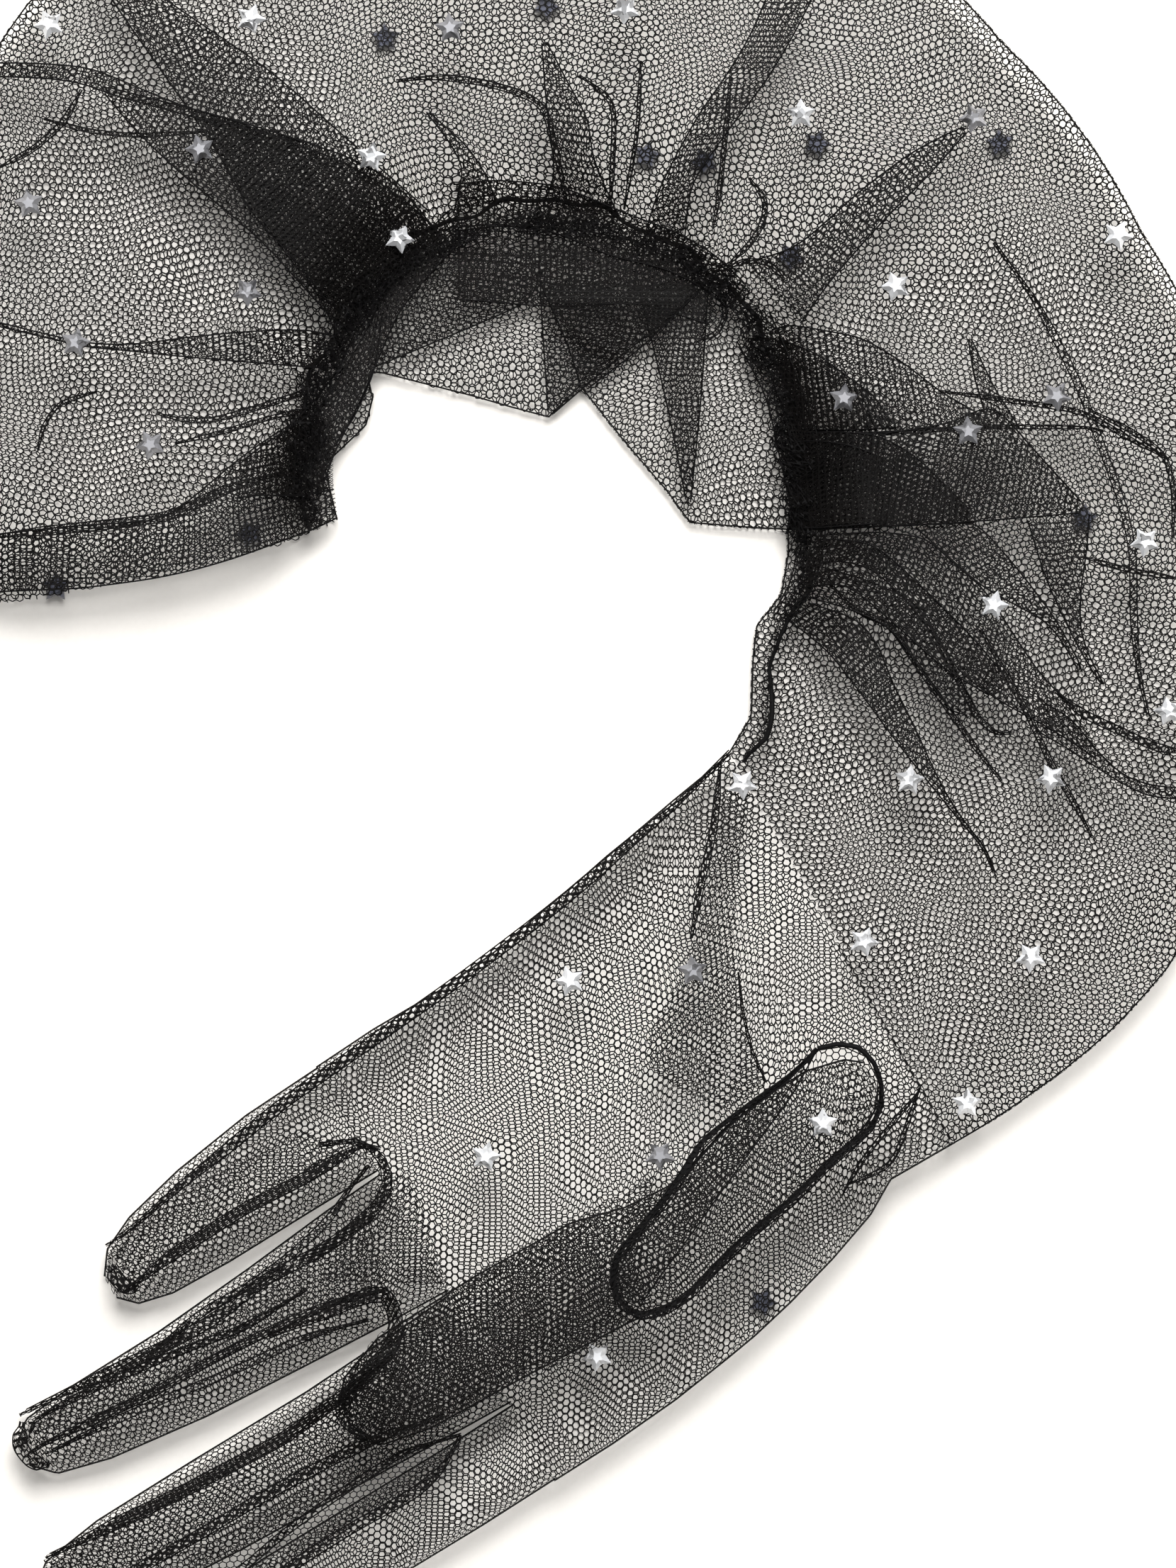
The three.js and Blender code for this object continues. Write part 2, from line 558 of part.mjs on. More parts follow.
// A five-pointed cut stone: a small flat base, a girdle, ten crown facets and a star table.
function starMesh(name, material) {
  const ring = (scale, z) => {
    const points = [];
    for (let i = 0; i < 10; i++) {
      const radius = scale * (i % 2 ? STAR_NOTCH : STAR_TIP);
      points.push([radius * Math.cos(degrees(36 * i)), radius * Math.sin(degrees(36 * i)), z]);
    }
    return points;
  };
  const rings = [ring(STAR_BASE, 0), ring(1, STAR_GIRDLE), ring(STAR_TABLE, STAR_HEIGHT)];
  const vertices = rings.flat(2);
  const triangles = [];
  for (let r = 0; r < 2; r++) {
    for (let i = 0; i < 10; i++) {
      const a = r * 10 + i;
      const b = r * 10 + (i + 1) % 10;
      triangles.push(a, b, a + 10, b, b + 10, a + 10);
    }
  }
  const base = vertices.push(0, 0, 0) / 3 - 1;
  const table = vertices.push(0, 0, STAR_HEIGHT) / 3 - 1;
  for (let i = 0; i < 10; i++) {
    triangles.push(base, (i + 1) % 10, i);
    triangles.push(table, 20 + i, 20 + (i + 1) % 10);
  }
  return meshOf(name, vertices, triangles, material);
}

// The highest point of the cloth within a star's outline.
function heightUnder(meshes, x, y) {
  let highest = 0;
  const samples = [[0, 0]];
  for (let i = 0; i < 12; i++) {
    for (const radius of [STAR_TIP / 2, STAR_TIP]) {
      samples.push([radius * Math.cos(degrees(30 * i)), radius * Math.sin(degrees(30 * i))]);
    }
  }
  const triangle = new THREE.Triangle();
  const weights = new THREE.Vector3();
  for (const { geometry } of meshes) {
    const { position } = geometry.attributes;
    const { array } = geometry.index;
    for (let i = 0; i < array.length; i += 3) {
      triangle.setFromAttributeAndIndices(position, array[i], array[i + 1], array[i + 2]);
      const corners = [triangle.a, triangle.b, triangle.c];
      const near = corners.some((corner) => Math.hypot(corner.x - x, corner.y - y) < 60);
      if (!near) continue;
      for (const corner of corners) {
        if (Math.hypot(corner.x - x, corner.y - y) < STAR_TIP) highest = Math.max(highest, corner.z);
      }
      const heights = corners.map((corner) => corner.z);
      corners.forEach((corner) => corner.setZ(0));
      for (const [dx, dy] of samples) {
        triangle.getBarycoord(new THREE.Vector3(x + dx, y + dy, 0), weights);
        if (Math.min(weights.x, weights.y, weights.z) >= 0) {
          highest = Math.max(highest, weights.x * heights[0] + weights.y * heights[1] + weights.z * heights[2]);
        }
      }
    }
  }
  return highest;
}

const paint = (colour, roughness, metalness) => new THREE.MeshStandardMaterial({
  color: colour, roughness, metalness,
});
const tulle = () => paint(0x1b191a, 0.75, 0);
const thread = () => paint(0x0c0b0c, 0.8, 0);
const crystal = () => paint(0xe6e8ec, 0.12, 0.6);
const backedCrystal = () => paint(0x3b404b, 0.3, 0.4);

const glove = new THREE.Group();
const cloth = [makeHand(tulle()), makeSleeveFront(tulle()), makeThumb(tulle()), makeThumbSeam(thread())];
glove.add(...cloth, makeSleeveBack(tulle()), makeElastic(thread()));
for (const [name, rows] of Object.entries(FINGERS)) glove.add(makeFinger(name, rows, tulle()));
const number = (i) => String(i + 1).padStart(2, '0');
STARS.forEach(([x, y, turn], i) => {
  const star = starMesh(`star_${number(i)}`, crystal());
  star.position.set(x, y, heightUnder(cloth, x, y) + GAP);
  star.rotation.z = degrees(turn);
  glove.add(star);
});
STARS_UNDER.forEach(([x, y, turn], i) => {
  const star = starMesh(`star_under_${number(i)}`, backedCrystal());
  star.position.set(x, y, STONE_LIFT - GAP);
  star.rotation.set(Math.PI, 0, degrees(turn));
  glove.add(star);
});

export default glove;
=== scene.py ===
"""A long evening glove of black tulle, lying palm up: its open net, seams, ruching and star stones.

The frame holds the glove's solid walls. Each piece of cloth here is an open net of flat yarn, laid out in
millimetres of cloth and carried on to the walls' shape by functions of two parameters.
"""
import math

import bpy
import numpy as np
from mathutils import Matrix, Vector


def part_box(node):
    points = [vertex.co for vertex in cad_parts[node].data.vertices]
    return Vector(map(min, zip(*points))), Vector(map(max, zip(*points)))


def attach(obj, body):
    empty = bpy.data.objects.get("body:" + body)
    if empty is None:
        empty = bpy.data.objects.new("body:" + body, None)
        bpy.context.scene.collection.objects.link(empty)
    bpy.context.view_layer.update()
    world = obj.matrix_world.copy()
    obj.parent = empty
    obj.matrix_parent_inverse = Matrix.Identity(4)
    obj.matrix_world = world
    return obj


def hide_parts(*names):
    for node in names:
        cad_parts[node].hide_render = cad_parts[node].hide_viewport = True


bl_info = {
    "name": "Tulle evening glove",
    "version": (1, 0, 0),
    "blender": (4, 5, 0),
    "location": "3D View > Sidebar > Glove",
    "description": "Builds the net, seams, ruching and stones of a long evening glove",
    "category": "Add Mesh",
}

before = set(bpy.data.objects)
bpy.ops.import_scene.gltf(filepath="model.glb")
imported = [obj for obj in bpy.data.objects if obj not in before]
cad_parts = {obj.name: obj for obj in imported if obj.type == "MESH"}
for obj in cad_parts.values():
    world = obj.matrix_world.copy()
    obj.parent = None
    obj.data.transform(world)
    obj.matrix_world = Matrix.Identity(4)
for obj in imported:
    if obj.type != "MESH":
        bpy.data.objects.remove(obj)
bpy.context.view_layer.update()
MM = 0.001
BODY = "root"

# Measures of the glove in millimetres and degrees, shared with its solid walls
RING_CENTRE = (60.3, 112.6)
RIM_HEIGHT = 7.3
FRILL_EDGE_HEIGHT = 2.2
FRILL_DEPTH = 24.0
HAND_HEIGHT = 12.6
THUMB_FOOT = 12.9
STONE_LIFT = 3.0         # how far the underside is raised over its stones
LIFT_BLEND = 6.0         # the turn over which a raised stretch rises
START_TURN, END_TURN = -90.3, 170.0
CUFF_START = 160.0       # the turn from which the cuff's outer end falls back
CUFF_SLANT = 4.4         # how far back it lies at the end, in degrees
WRIST_X = 62.0           # where the hand's tube has gone over into the sleeve
OVER_HAND = 95.0         # the Y above which only the far half of the sleeve lies
# Powers of the sine and cosine in the tubes' sections: the lower, the squarer
HAND_SHAPE, FINGER_SHAPE, THUMB_SHAPE = 0.3, 0.7, 0.75

# The sleeve's sections by turn: radii of the elastic and the outer edge, and the place of the frill's edge
SLEEVE = np.array([
    (-91, 68.6, 147.3, 59.6, 47.5), (-84, 65.0, 147.5, 67.0, 51.6), (-76, 56.5, 148.0, 72.8, 61.0),
    (-70, 53.6, 147.6, 76.2, 65.5), (-62, 52.4, 143.0, 83.0, 68.2), (-54, 50.0, 138.5, 87.9, 74.2),
    (-48, 47.4, 135.4, 90.0, 78.0), (-42, 45.0, 132.0, 85.0, 81.2), (-30, 42.8, 125.0, 75.0, 88.1),
    (-10, 41.7, 114.5, 74.3, 95.0), (12, 42.0, 110.5, 72.0, 107.3), (37, 41.7, 113.0, 70.1, 120.0),
    (48, 42.8, 113.0, 66.2, 119.0), (60, 44.1, 113.5, 62.2, 117.9), (70, 44.1, 115.0, 57.0, 123.1),
    (80, 44.1, 118.0, 52.0, 128.3), (90, 44.5, 122.0, 47.6, 132.6), (100, 44.9, 125.0, 43.2, 136.9),
    (110, 44.6, 126.0, 39.8, 140.2), (119, 44.2, 125.0, 37.9, 141.6), (127, 43.8, 122.0, 37.0, 140.6),
    (136, 44.8, 118.0, 35.8, 137.0), (145, 44.6, 114.5, 32.3, 133.4), (155, 46.2, 111.0, 22.0, 130.9),
    (172, 46.6, 107.0, 18.6, 119.6),
])
TURN, GATHER, RIM, EDGE_X, EDGE_Y = range(5)

# Heights of the two sides over the table, by the share of the way from the elastic to the rim. Under 0 it is
# the share of the way to the frill's edge
FRONT_HEIGHT = np.array([
    (-1.0, 2.4), (-0.9, 3.3), (-0.6, 4.3), (-0.2, 5.2), (-0.03, 5.7), (0.0, 5.9), (0.02, 6.4), (0.05, 8.2),
    (0.09, 10.6), (0.13, 12.0), (0.2, 13.1), (0.3, 13.8), (0.45, 14.1), (0.62, 14.0), (0.75, 13.6),
    (0.84, 12.9), (0.91, 11.6), (0.96, 10.0), (0.99, 8.4), (1.0, 7.4),
])
BACK_HEIGHT = np.array([
    (-1.0, 1.8), (-0.9, 1.1), (-0.6, 0.7), (0.0, 0.6), (0.5, 0.6), (0.84, 0.7), (0.91, 1.5), (0.96, 3.2),
    (0.985, 5.0), (1.0, 7.2),
])
# The upper side's groove for the elastic ends at this share, and at the wrist it lies lower, by the turn
GROOVE_SHARE = 0.1
WRIST_FLATTENING = np.array([(-90, 0.9), (-76, 1.0)])
# Where the underside is raised over its stones: how much by the share, and between which turns
BACK_LIFT = np.array([(0.055, 0), (0.105, 1), (0.86, 1), (0.93, 0)])
LIFTED = [(-42, -33), (0, 87), (160, 172)]

# The hand's sections: x, the two edges' Y, and the lift of the underside near the lower edge
HAND = np.array([
    (-34.5, 35.7, -51.8, 0), (-22, 36.5, -51.3, 0), (-8, 36.6, -50.1, 0), (4, 37.6, -48.3, 0),
    (10.5, 38.8, -47.2, 1), (19.5, 40.4, -45.1, 1), (30, 42.3, -42.1, 0), (40, 44.1, -38.6, 0),
    (46.5, 45.3, -34.8, 0), (60.1, 47.5, -34.8, 0),
])
# How far in from the lower edge the underside's lift reaches, and over how much of that it falls off
HAND_LIFT_REACH, HAND_LIFT_FADE = 12.5, 3.5
# The same sections as a tube's: x, middle, width and height
HAND_ROWS = [(x, (upper + lower) / 2, upper - lower, HAND_HEIGHT) for x, upper, lower, _ in HAND]
# The fingers' sections from the palm to the tip: x, y, width and height
FINGERS = {
    "finger_little": [(-34.2, 24.6, 21.8, 12), (-50, 23.9, 21.2, 12), (-66, 22.4, 19.2, 11.6),
                      (-78, 21.0, 16.0, 10.6), (-84.5, 20.2, 11.5, 8.6), (-87.6, 19.6, 4.5, 4.6)],
    "finger_ring": [(-34.2, 0.5, 24.6, 12), (-46, 0.2, 23.4, 12), (-64, -0.4, 20.6, 12),
                    (-84, -0.8, 17.8, 11.6), (-103, -0.1, 15.0, 10.6), (-113, 0.6, 11.5, 8.6),
                    (-116.9, 0.9, 4.5, 4.6)],
    "finger_middle": [(-34.2, -24.0, 22.6, 12), (-46, -24.4, 21.4, 12), (-66, -24.8, 19.6, 12),
                      (-90, -24.8, 18.6, 11.6), (-111, -24.7, 16.8, 10.6), (-123, -24.4, 12.5, 8.6),
                      (-127.6, -24.2, 4.5, 4.6)],
    "finger_index": [(-34.2, -43.8, 15.6, 12), (-50, -44.5, 15.6, 12), (-68, -44.9, 15.6, 11.8),
                     (-88, -45.2, 15.2, 11.4), (-101, -45.2, 13.8, 10.2), (-109, -45.0, 10.5, 8.2),
                     (-112.6, -44.8, 4.0, 4.6)],
}
# The thumb's sections from its tip to its foot, in the same way
THUMB = [(-61.6, -23.3, 6.5, 3.6), (-58, -22.8, 14, 6.4), (-49, -22.0, 19, 8.4), (-28, -21.8, 20.4, 9.0),
         (-8, -22.4, 21, 9.2), (2, -24.2, 19.6, 9.2), (12, -23.9, 17.6, 8.8), (29, -19.2, 18.6, 7.8),
         (43, -17.4, 16, 7), (50, -16.6, 11, 5.6), (53, -16, 5, 3.6)]

# The view's own measure: places read off it are counted right and down in units of 0.13 mm
VIEW_UNIT = 0.13
VIEW_ORIGIN = (813, 1611)
VIEW_TURN = math.radians(30)


def on_view(places):
    """Places counted on the view as X and Y in millimetres: moved to the palm and turned by 30 degrees."""
    right, up = np.transpose(np.asarray(places, float) - VIEW_ORIGIN) * [[VIEW_UNIT], [-VIEW_UNIT]]
    cos, sin = math.cos(VIEW_TURN), math.sin(VIEW_TURN)
    return np.stack([right * cos + up * sin, up * cos - right * sin], 1)


# The folds laid over the upper side: the two edges from the elastic outwards, the layers that the fold adds
# and its height over the cloth. Rows of one layer add a sheet of net without a crease, a soft darker tone:
# doubled cloth along the fingers, and painted shade on the palm. All places are on the view
BANDS = [
    ([(606, 300), (549, 251), (503, 211), (446, 160), (389, 109), (297, 46), (229, 0), (180, -40)],
     [(480, 486), (451, 417), (411, 371), (377, 320), (343, 274), (297, 200), (229, 103), (157, 0),
      (120, -60)], 2, 0.6),
    ([(620, 330), (560, 262), (503, 229), (400, 194), (300, 165), (200, 140), (146, 125)],
     [(510, 470), (474, 457), (423, 400), (371, 343), (274, 263), (229, 223), (183, 177), (143, 127)],
      2, 1.1),
    ([(640, 350), (580, 290), (503, 240), (400, 200), (290, 168)],
     [(490, 450), (455, 420), (420, 371), (360, 310), (314, 229), (286, 170)], 3, 1.2),
    ([(440, 205), (400, 200), (320, 171), (257, 154), (171, 117), (131, 100), (69, 94), (-20, 90)],
     [(420, 220), (380, 212), (310, 180), (240, 160), (154, 137), (126, 123), (69, 114), (-20, 110)],
      2, 1.0),
    ([(490, 478), (434, 466), (343, 471), (257, 480), (200, 489), (130, 489), (46, 469), (-20, 452)],
     [(495, 520), (400, 517), (320, 511), (229, 503), (171, 496), (130, 494), (46, 474), (-20, 458)],
      2, 0.5),
    ([(765, 290), (783, 250), (778, 207), (772, 163), (768, 120), (764, 60)],
     [(878, 315), (856, 272), (835, 224), (830, 172), (800, 120), (768, 58)], 2, 0.7),
    ([(905, 345), (926, 276), (952, 224), (986, 163), (1021, 115), (1055, 60), (1085, -10)],
     [(965, 340), (973, 263), (1012, 207), (1038, 172), (1082, 115), (1120, 50), (1150, -10)], 2, 0.7),
    ([(1045, 373), (1120, 355), (1213, 271), (1288, 215), (1363, 179)],
     [(1129, 457), (1167, 401), (1241, 317), (1307, 252), (1366, 184)], 2, 0.6),
    ([(640, 325), (700, 318), (760, 318), (830, 325), (900, 340), (960, 365), (1010, 395)],
     [(640, 420), (700, 425), (760, 430), (830, 430), (900, 425), (950, 440), (1010, 460)], 2, 0.5),
    ([(640, 300), (655, 240), (632, 200), (600, 160)],
     [(700, 290), (690, 255), (660, 210), (603, 160)], 2, 0.5),
    ([(1090, 465), (1114, 459), (1170, 470), (1214, 478), (1270, 512), (1326, 556), (1381, 587)],
     [(1115, 615), (1131, 612), (1180, 614), (1214, 612), (1326, 607), (1398, 604)], 2, 0.6),
    ([(1100, 480), (1147, 498), (1192, 531), (1237, 565)],
     [(1110, 610), (1142, 606), (1192, 609), (1270, 604)], 4, 1.0),
    ([(1120, 604), (1180, 612), (1237, 615), (1337, 600), (1398, 570), (1437, 615), (1487, 671),
      (1529, 716)],
     [(1110, 746), (1160, 747), (1214, 744), (1326, 740), (1437, 732), (1529, 724)], 3, 0.8),
    ([(1112, 612), (1180, 610), (1240, 616), (1290, 645), (1335, 690), (1370, 725)],
     [(1112, 746), (1180, 746), (1240, 744), (1290, 742), (1335, 740), (1372, 738)], 4, 1.2),
    ([(1100, 625), (1150, 622), (1200, 630), (1250, 650)],
     [(1110, 744), (1150, 745), (1200, 742), (1260, 738)], 2, 2.0),
    ([(1437, 609), (1398, 548), (1366, 478)],
     [(1386, 584), (1370, 531), (1363, 478)], 2, 0.9),
    ([(1534, 727), (1530, 778), (1522, 829), (1520, 884), (1530, 920), (1557, 971)],
     [(1447, 735), (1471, 814), (1494, 865), (1522, 922), (1553, 969)], 2, 0.7),
    ([(1340, 739), (1377, 739), (1435, 806), (1483, 869), (1518, 931), (1526, 955)],
     [(1290, 745), (1353, 802), (1384, 829), (1424, 851), (1475, 878), (1500, 912), (1522, 953)], 2, 0.6),
    ([(1160, 755), (1239, 751), (1306, 759), (1345, 798), (1384, 829), (1420, 884), (1455, 939),
      (1486, 975), (1522, 1006)],
     [(1130, 800), (1180, 790), (1228, 800), (1286, 857), (1353, 951), (1408, 990), (1455, 1014),
      (1500, 1041), (1553, 1076)], 2, 0.9),
    ([(1150, 760), (1230, 765), (1300, 830), (1370, 900), (1420, 960)],
     [(1125, 830), (1190, 820), (1260, 880), (1330, 945), (1400, 985)], 2, 1.5),
    ([(1461, 985), (1510, 1015), (1545, 1060), (1581, 1094), (1620, 1108), (1680, 1112)],
     [(1459, 1030), (1502, 1055), (1553, 1088), (1577, 1103), (1616, 1123), (1680, 1128)], 2, 0.6),
    ([(1140, 850), (1208, 873), (1235, 904), (1259, 967), (1283, 1014), (1306, 1065), (1330, 1116),
      (1361, 1163), (1388, 1194), (1406, 1241)],
     [(1105, 870), (1126, 884), (1169, 920), (1208, 971), (1247, 1025), (1286, 1076), (1318, 1116),
      (1353, 1159), (1384, 1194), (1403, 1241)], 3, 0.6),
    ([(1024, 1112), (1000, 1240), (978, 1330), (950, 1400), (912, 1455), (908, 1500), (960, 1540),
      (1020, 1566)],
     [(1060, 1112), (1046, 1200), (1037, 1280), (1039, 1350), (1046, 1420), (1058, 1480), (1078, 1525),
      (1086, 1530)], 1, 0.1),
    ([(1160, 800), (1225, 820), (1290, 850), (1310, 880), (1345, 945), (1378, 1005)],
     [(1135, 840), (1200, 860), (1255, 885), (1300, 950), (1340, 1005), (1370, 1010)], 2, 0.7),
    ([(457, 571), (400, 606), (343, 646), (303, 680), (263, 714), (229, 737), (114, 743), (-20, 757)],
     [(476, 730), (440, 748), (400, 764), (337, 788), (280, 805), (220, 818), (114, 832), (-20, 836)],
      2, 0.6),
    ([(470, 560), (430, 590), (380, 625), (340, 655)],
     [(470, 690), (430, 700), (370, 700), (330, 705)], 2, 1.4),
    ([(500, 470), (480, 520), (440, 570), (400, 610)],
     [(540, 440), (530, 520), (500, 590), (455, 650)], 2, 1.0),
    ([(1085, 440), (1120, 520), (1150, 600), (1165, 680), (1165, 760), (1150, 830), (1110, 880)],
     [(1050, 440), (1085, 520), (1112, 600), (1125, 680), (1128, 760), (1118, 820), (1085, 875)], 2, 1.2),
    ([(640, 262), (700, 255), (790, 262), (880, 300), (960, 330), (1010, 360), (1060, 410)],
     [(640, 320), (700, 315), (780, 325), (860, 360), (940, 378), (985, 400), (1035, 440)], 2, 1.0),
    ([(400, 640), (440, 590), (480, 530), (520, 460), (540, 410), (580, 350), (640, 290)],
     [(450, 700), (470, 640), (510, 560), (540, 490), (560, 440), (610, 380), (660, 330)], 2, 1.0),
    ([(548, 345), (533, 450), (518, 519)],
     [(761, 352), (761, 419), (639, 471), (519, 521)], 2, 0.3),
    ([(761, 345), (763, 424), (774, 586)],
     [(991, 355), (978, 424), (874, 502), (775, 587)], 2, 0.4),
    ([(761, 395), (800, 480), (822, 549)],
     [(1000, 395), (913, 484), (824, 551)], 2, 1.0),
    ([(900, 400), (940, 560), (970, 712)],
     [(1000, 400), (990, 560), (974, 716)], 2, 0.4),
    ([(1040, 480), (1083, 560), (1100, 643), (1122, 735)],
     [(1130, 510), (1128, 560), (1130, 643), (1133, 738)], 2, 0.4),
    ([(430, 1590), (326, 1640), (244, 1690), (185, 1735), (155, 1765)],
     [(500, 1628), (423, 1668), (347, 1706), (288, 1744), (233, 1779), (190, 1812)], 1, 0.1),
    # Painted shade: one sheet of net over a smooth grey zone of the palm
    ([(549, 1652), (520, 1700), (480, 1760), (450, 1805)],
     [(580, 1652), (597, 1700), (615, 1755), (636, 1810)], 1, 0.1),
    ([(520, 1690), (467, 1756), (369, 1806), (304, 1860), (233, 1898), (152, 1936), (50, 1985)],
     [(548, 1817), (461, 1838), (380, 1876), (304, 1914), (217, 1963), (136, 2001), (45, 2045)], 1, 0.1),
    ([(560, 1900), (478, 1969), (402, 2028), (326, 2066), (244, 2110), (163, 2148), (60, 2200)],
     [(640, 2000), (543, 2025), (472, 2060), (380, 2110), (261, 2180), (150, 2240)], 1, 0.1),
    ([(640, 2005), (543, 2035), (472, 2075), (380, 2125), (261, 2195)],
     [(650, 2040), (586, 2104), (505, 2148), (434, 2191), (320, 2260)], 1, 0.1),
    ([(478, 1958), (520, 1890), (560, 1852), (635, 1811), (760, 1740), (869, 1683), (926, 1648)],
     [(500, 2030), (560, 2000), (640, 1985), (700, 1955), (780, 1925), (840, 1895), (890, 1850)], 1, 0.1),
    ([(1148, 1484), (1108, 1524), (1028, 1582), (970, 1648), (913, 1719), (873, 1768), (864, 1807)],
     [(1147, 1487), (1112, 1548), (1062, 1612), (1012, 1682), (962, 1752), (926, 1800), (898, 1842)],
      2, 0.1),
]

# The single dark lines that a narrow fold draws: its course on the view and its width in millimetres
LINES = [
    ([(560, 118), (620, 112), (683, 120), (743, 137), (770, 155), (778, 190), (790, 240), (800, 290)],
      1.1),
    ([(817, 110), (867, 146), (866, 200), (861, 293)], 0.8),
    ([(904, 90), (900, 185), (889, 250), (880, 300)], 0.6),
    ([(1030, 110), (1025, 172), (1014, 280), (1010, 302), (1004, 328)], 0.8),
    ([(1056, 254), (1080, 285), (1077, 315), (1060, 345), (1025, 376)], 0.9),
    ([(1025, 380), (1047, 369), (1082, 371), (1108, 398)], 0.8),
    ([(1017, 400), (1025, 445), (1012, 471), (982, 480)], 0.8),
    ([(1326, 554), (1415, 566), (1526, 582), (1599, 626), (1648, 650)], 0.8),
    ([(1237, 615), (1370, 604), (1537, 604), (1560, 612)], 0.7),
    ([(1400, 345), (1454, 420), (1482, 470), (1521, 548), (1549, 626), (1582, 715), (1596, 777),
      (1596, 882), (1604, 955), (1621, 1027)], 1.3),
    ([(1532, 579), (1593, 609), (1643, 643), (1654, 698), (1651, 765)], 0.8),
    ([(1526, 787), (1582, 804), (1665, 818)], 0.8),
    ([(1486, 975), (1522, 1006), (1581, 1033), (1628, 1055), (1680, 1062)], 1.4),
    ([(1306, 876), (1330, 920), (1353, 967), (1377, 1014), (1404, 1037), (1430, 1033)], 0.9),
    ([(1381, 888), (1416, 951), (1443, 998), (1463, 1041), (1483, 1084), (1510, 1127), (1541, 1186)],
      1.0),
    ([(1169, 822), (1208, 865), (1255, 880), (1279, 920), (1314, 971), (1353, 1025), (1384, 1069),
      (1416, 1108)], 0.9),
    ([(486, 520), (429, 554), (366, 577), (297, 597), (251, 594), (217, 583)], 0.9),
    ([(457, 571), (371, 594), (309, 614), (246, 629)], 0.7),
    ([(140, 555), (86, 571), (63, 605), (57, 640)], 0.6),
    ([(400, 668), (377, 674), (320, 691), (246, 731), (143, 743), (-20, 759)], 1.7),
    ([(290, 190), (200, 196), (130, 190), (60, 170)], 0.7),
    ([(118, 130), (95, 175), (50, 215), (0, 240)], 1.0),
    ([(1016, 1075), (1012, 1120), (1007, 1169), (988, 1249), (974, 1328)], 1.2),
    ([(1041, 1370), (1047, 1425), (1060, 1482), (1082, 1528)], 0.35),
    ([(1296, 1533), (1258, 1644), (1192, 1670)], 0.7),
    ([(1296, 1537), (1218, 1630), (1187, 1683)], 0.7),
]

# The sewn seams of the hand, fingers and thumb, in the same way
SEAMS = [
    ([(1030, 1060), (954, 1136), (888, 1189), (821, 1249), (755, 1302), (649, 1382), (536, 1461),
      (449, 1521), (383, 1568), (326, 1616), (244, 1681), (185, 1735), (149, 1757)], 2.0),
    ([(538, 1620), (510, 1612), (461, 1643), (423, 1665), (347, 1703), (288, 1741), (233, 1776),
      (206, 1800), (174, 1822)], 2.1),
    ([(450, 1613), (510, 1605), (543, 1630), (554, 1665), (538, 1700), (467, 1756), (369, 1806),
      (304, 1860), (233, 1898), (152, 1936), (71, 1974), (22, 2001)], 2.1),
    ([(521, 1643), (489, 1681), (472, 1713), (413, 1768), (347, 1817), (293, 1844), (206, 1914)], 1.3),
    ([(434, 1817), (347, 1871), (271, 1898), (206, 1925), (109, 1969), (49, 2001), (40, 2030)], 1.2),
    ([(548, 1817), (461, 1838), (380, 1876), (304, 1914), (217, 1963), (136, 2001), (65, 2034),
      (33, 2056)], 1.5),
    ([(521, 1860), (434, 1882), (347, 1925), (239, 1969), (130, 2017), (65, 2050)], 1.3),
    ([(560, 1900), (478, 1969), (402, 2028), (326, 2066), (244, 2110), (163, 2148), (60, 2200)], 2.2),
    ([(630, 1990), (543, 2017), (472, 2055), (380, 2104), (261, 2175), (180, 2220), (60, 2290)], 1.9),
    ([(651, 2023), (570, 2045), (489, 2099), (413, 2153), (347, 2212), (250, 2270), (150, 2330)], 1.3),
    ([(651, 2023), (624, 2072), (586, 2104), (505, 2148), (434, 2191), (407, 2212), (300, 2280)], 1.9),
    ([(157, 1784), (163, 1800), (178, 1815), (200, 1810)], 2.6),
    ([(31, 2006), (27, 2040), (45, 2062), (72, 2066)], 2.6),
    ([(380, 1882), (430, 1862), (473, 1842), (515, 1826), (545, 1819), (556, 1840), (563, 1863),
      (557, 1893), (528, 1922), (498, 1956), (480, 1981), (492, 2008), (530, 2024)], 2.6),
]

# The closed oval on which the thumb is set in
THUMB_OVAL = [
    (1152, 1478), (1179, 1471), (1210, 1475), (1232, 1497), (1243, 1528), (1241, 1564), (1223, 1595),
    (1187, 1621), (1156, 1648), (1125, 1683), (1090, 1710), (1046, 1745), (1001, 1790), (970, 1825),
    (931, 1847), (895, 1852), (873, 1834), (862, 1799), (869, 1768), (895, 1737), (931, 1697),
    (966, 1648), (988, 1608), (1028, 1577), (1063, 1551), (1108, 1520), (1134, 1497), (1152, 1478),
]

# The stones that lie under the upper cloth, which get a darker copy of the stones' colour as painted shade,
# and how near a stone has to be to its place
VEILED = [
    (47, 294), (117, 491), (210, 631), (354, 416), (280, 214), (638, 47), (1372, 168), (1347, 620),
    (1483, 563), (1187, 563), (977, 1364), (932, 1634),
]
VEILED_REACH = 4.0


# Properties

def length_property(name, description, millimetres):
    """A length in metres that is shown with its unit."""
    return bpy.props.FloatProperty(name=name, description=description, default=millimetres * MM,
                                   min=0.05 * MM, max=5 * MM, subtype="DISTANCE", unit="LENGTH", precision=5)


def colour_property(name, description, colour):
    """A colour with three parts from 0 to 1."""
    return bpy.props.FloatVectorProperty(name=name, description=description, default=colour, min=0.0, max=1.0,
                                         size=3, subtype="COLOR")


class GloveNet(bpy.types.PropertyGroup):
    """The net that the glove is made of."""
    pitch: length_property("Cell", "Distance between the middles of two cells", 1.3)
    yarn: length_property("Yarn", "Width of one yarn of the net", 0.21)
    colour: colour_property("Net", "Colour of the yarn", (0.0042, 0.0038, 0.0036))


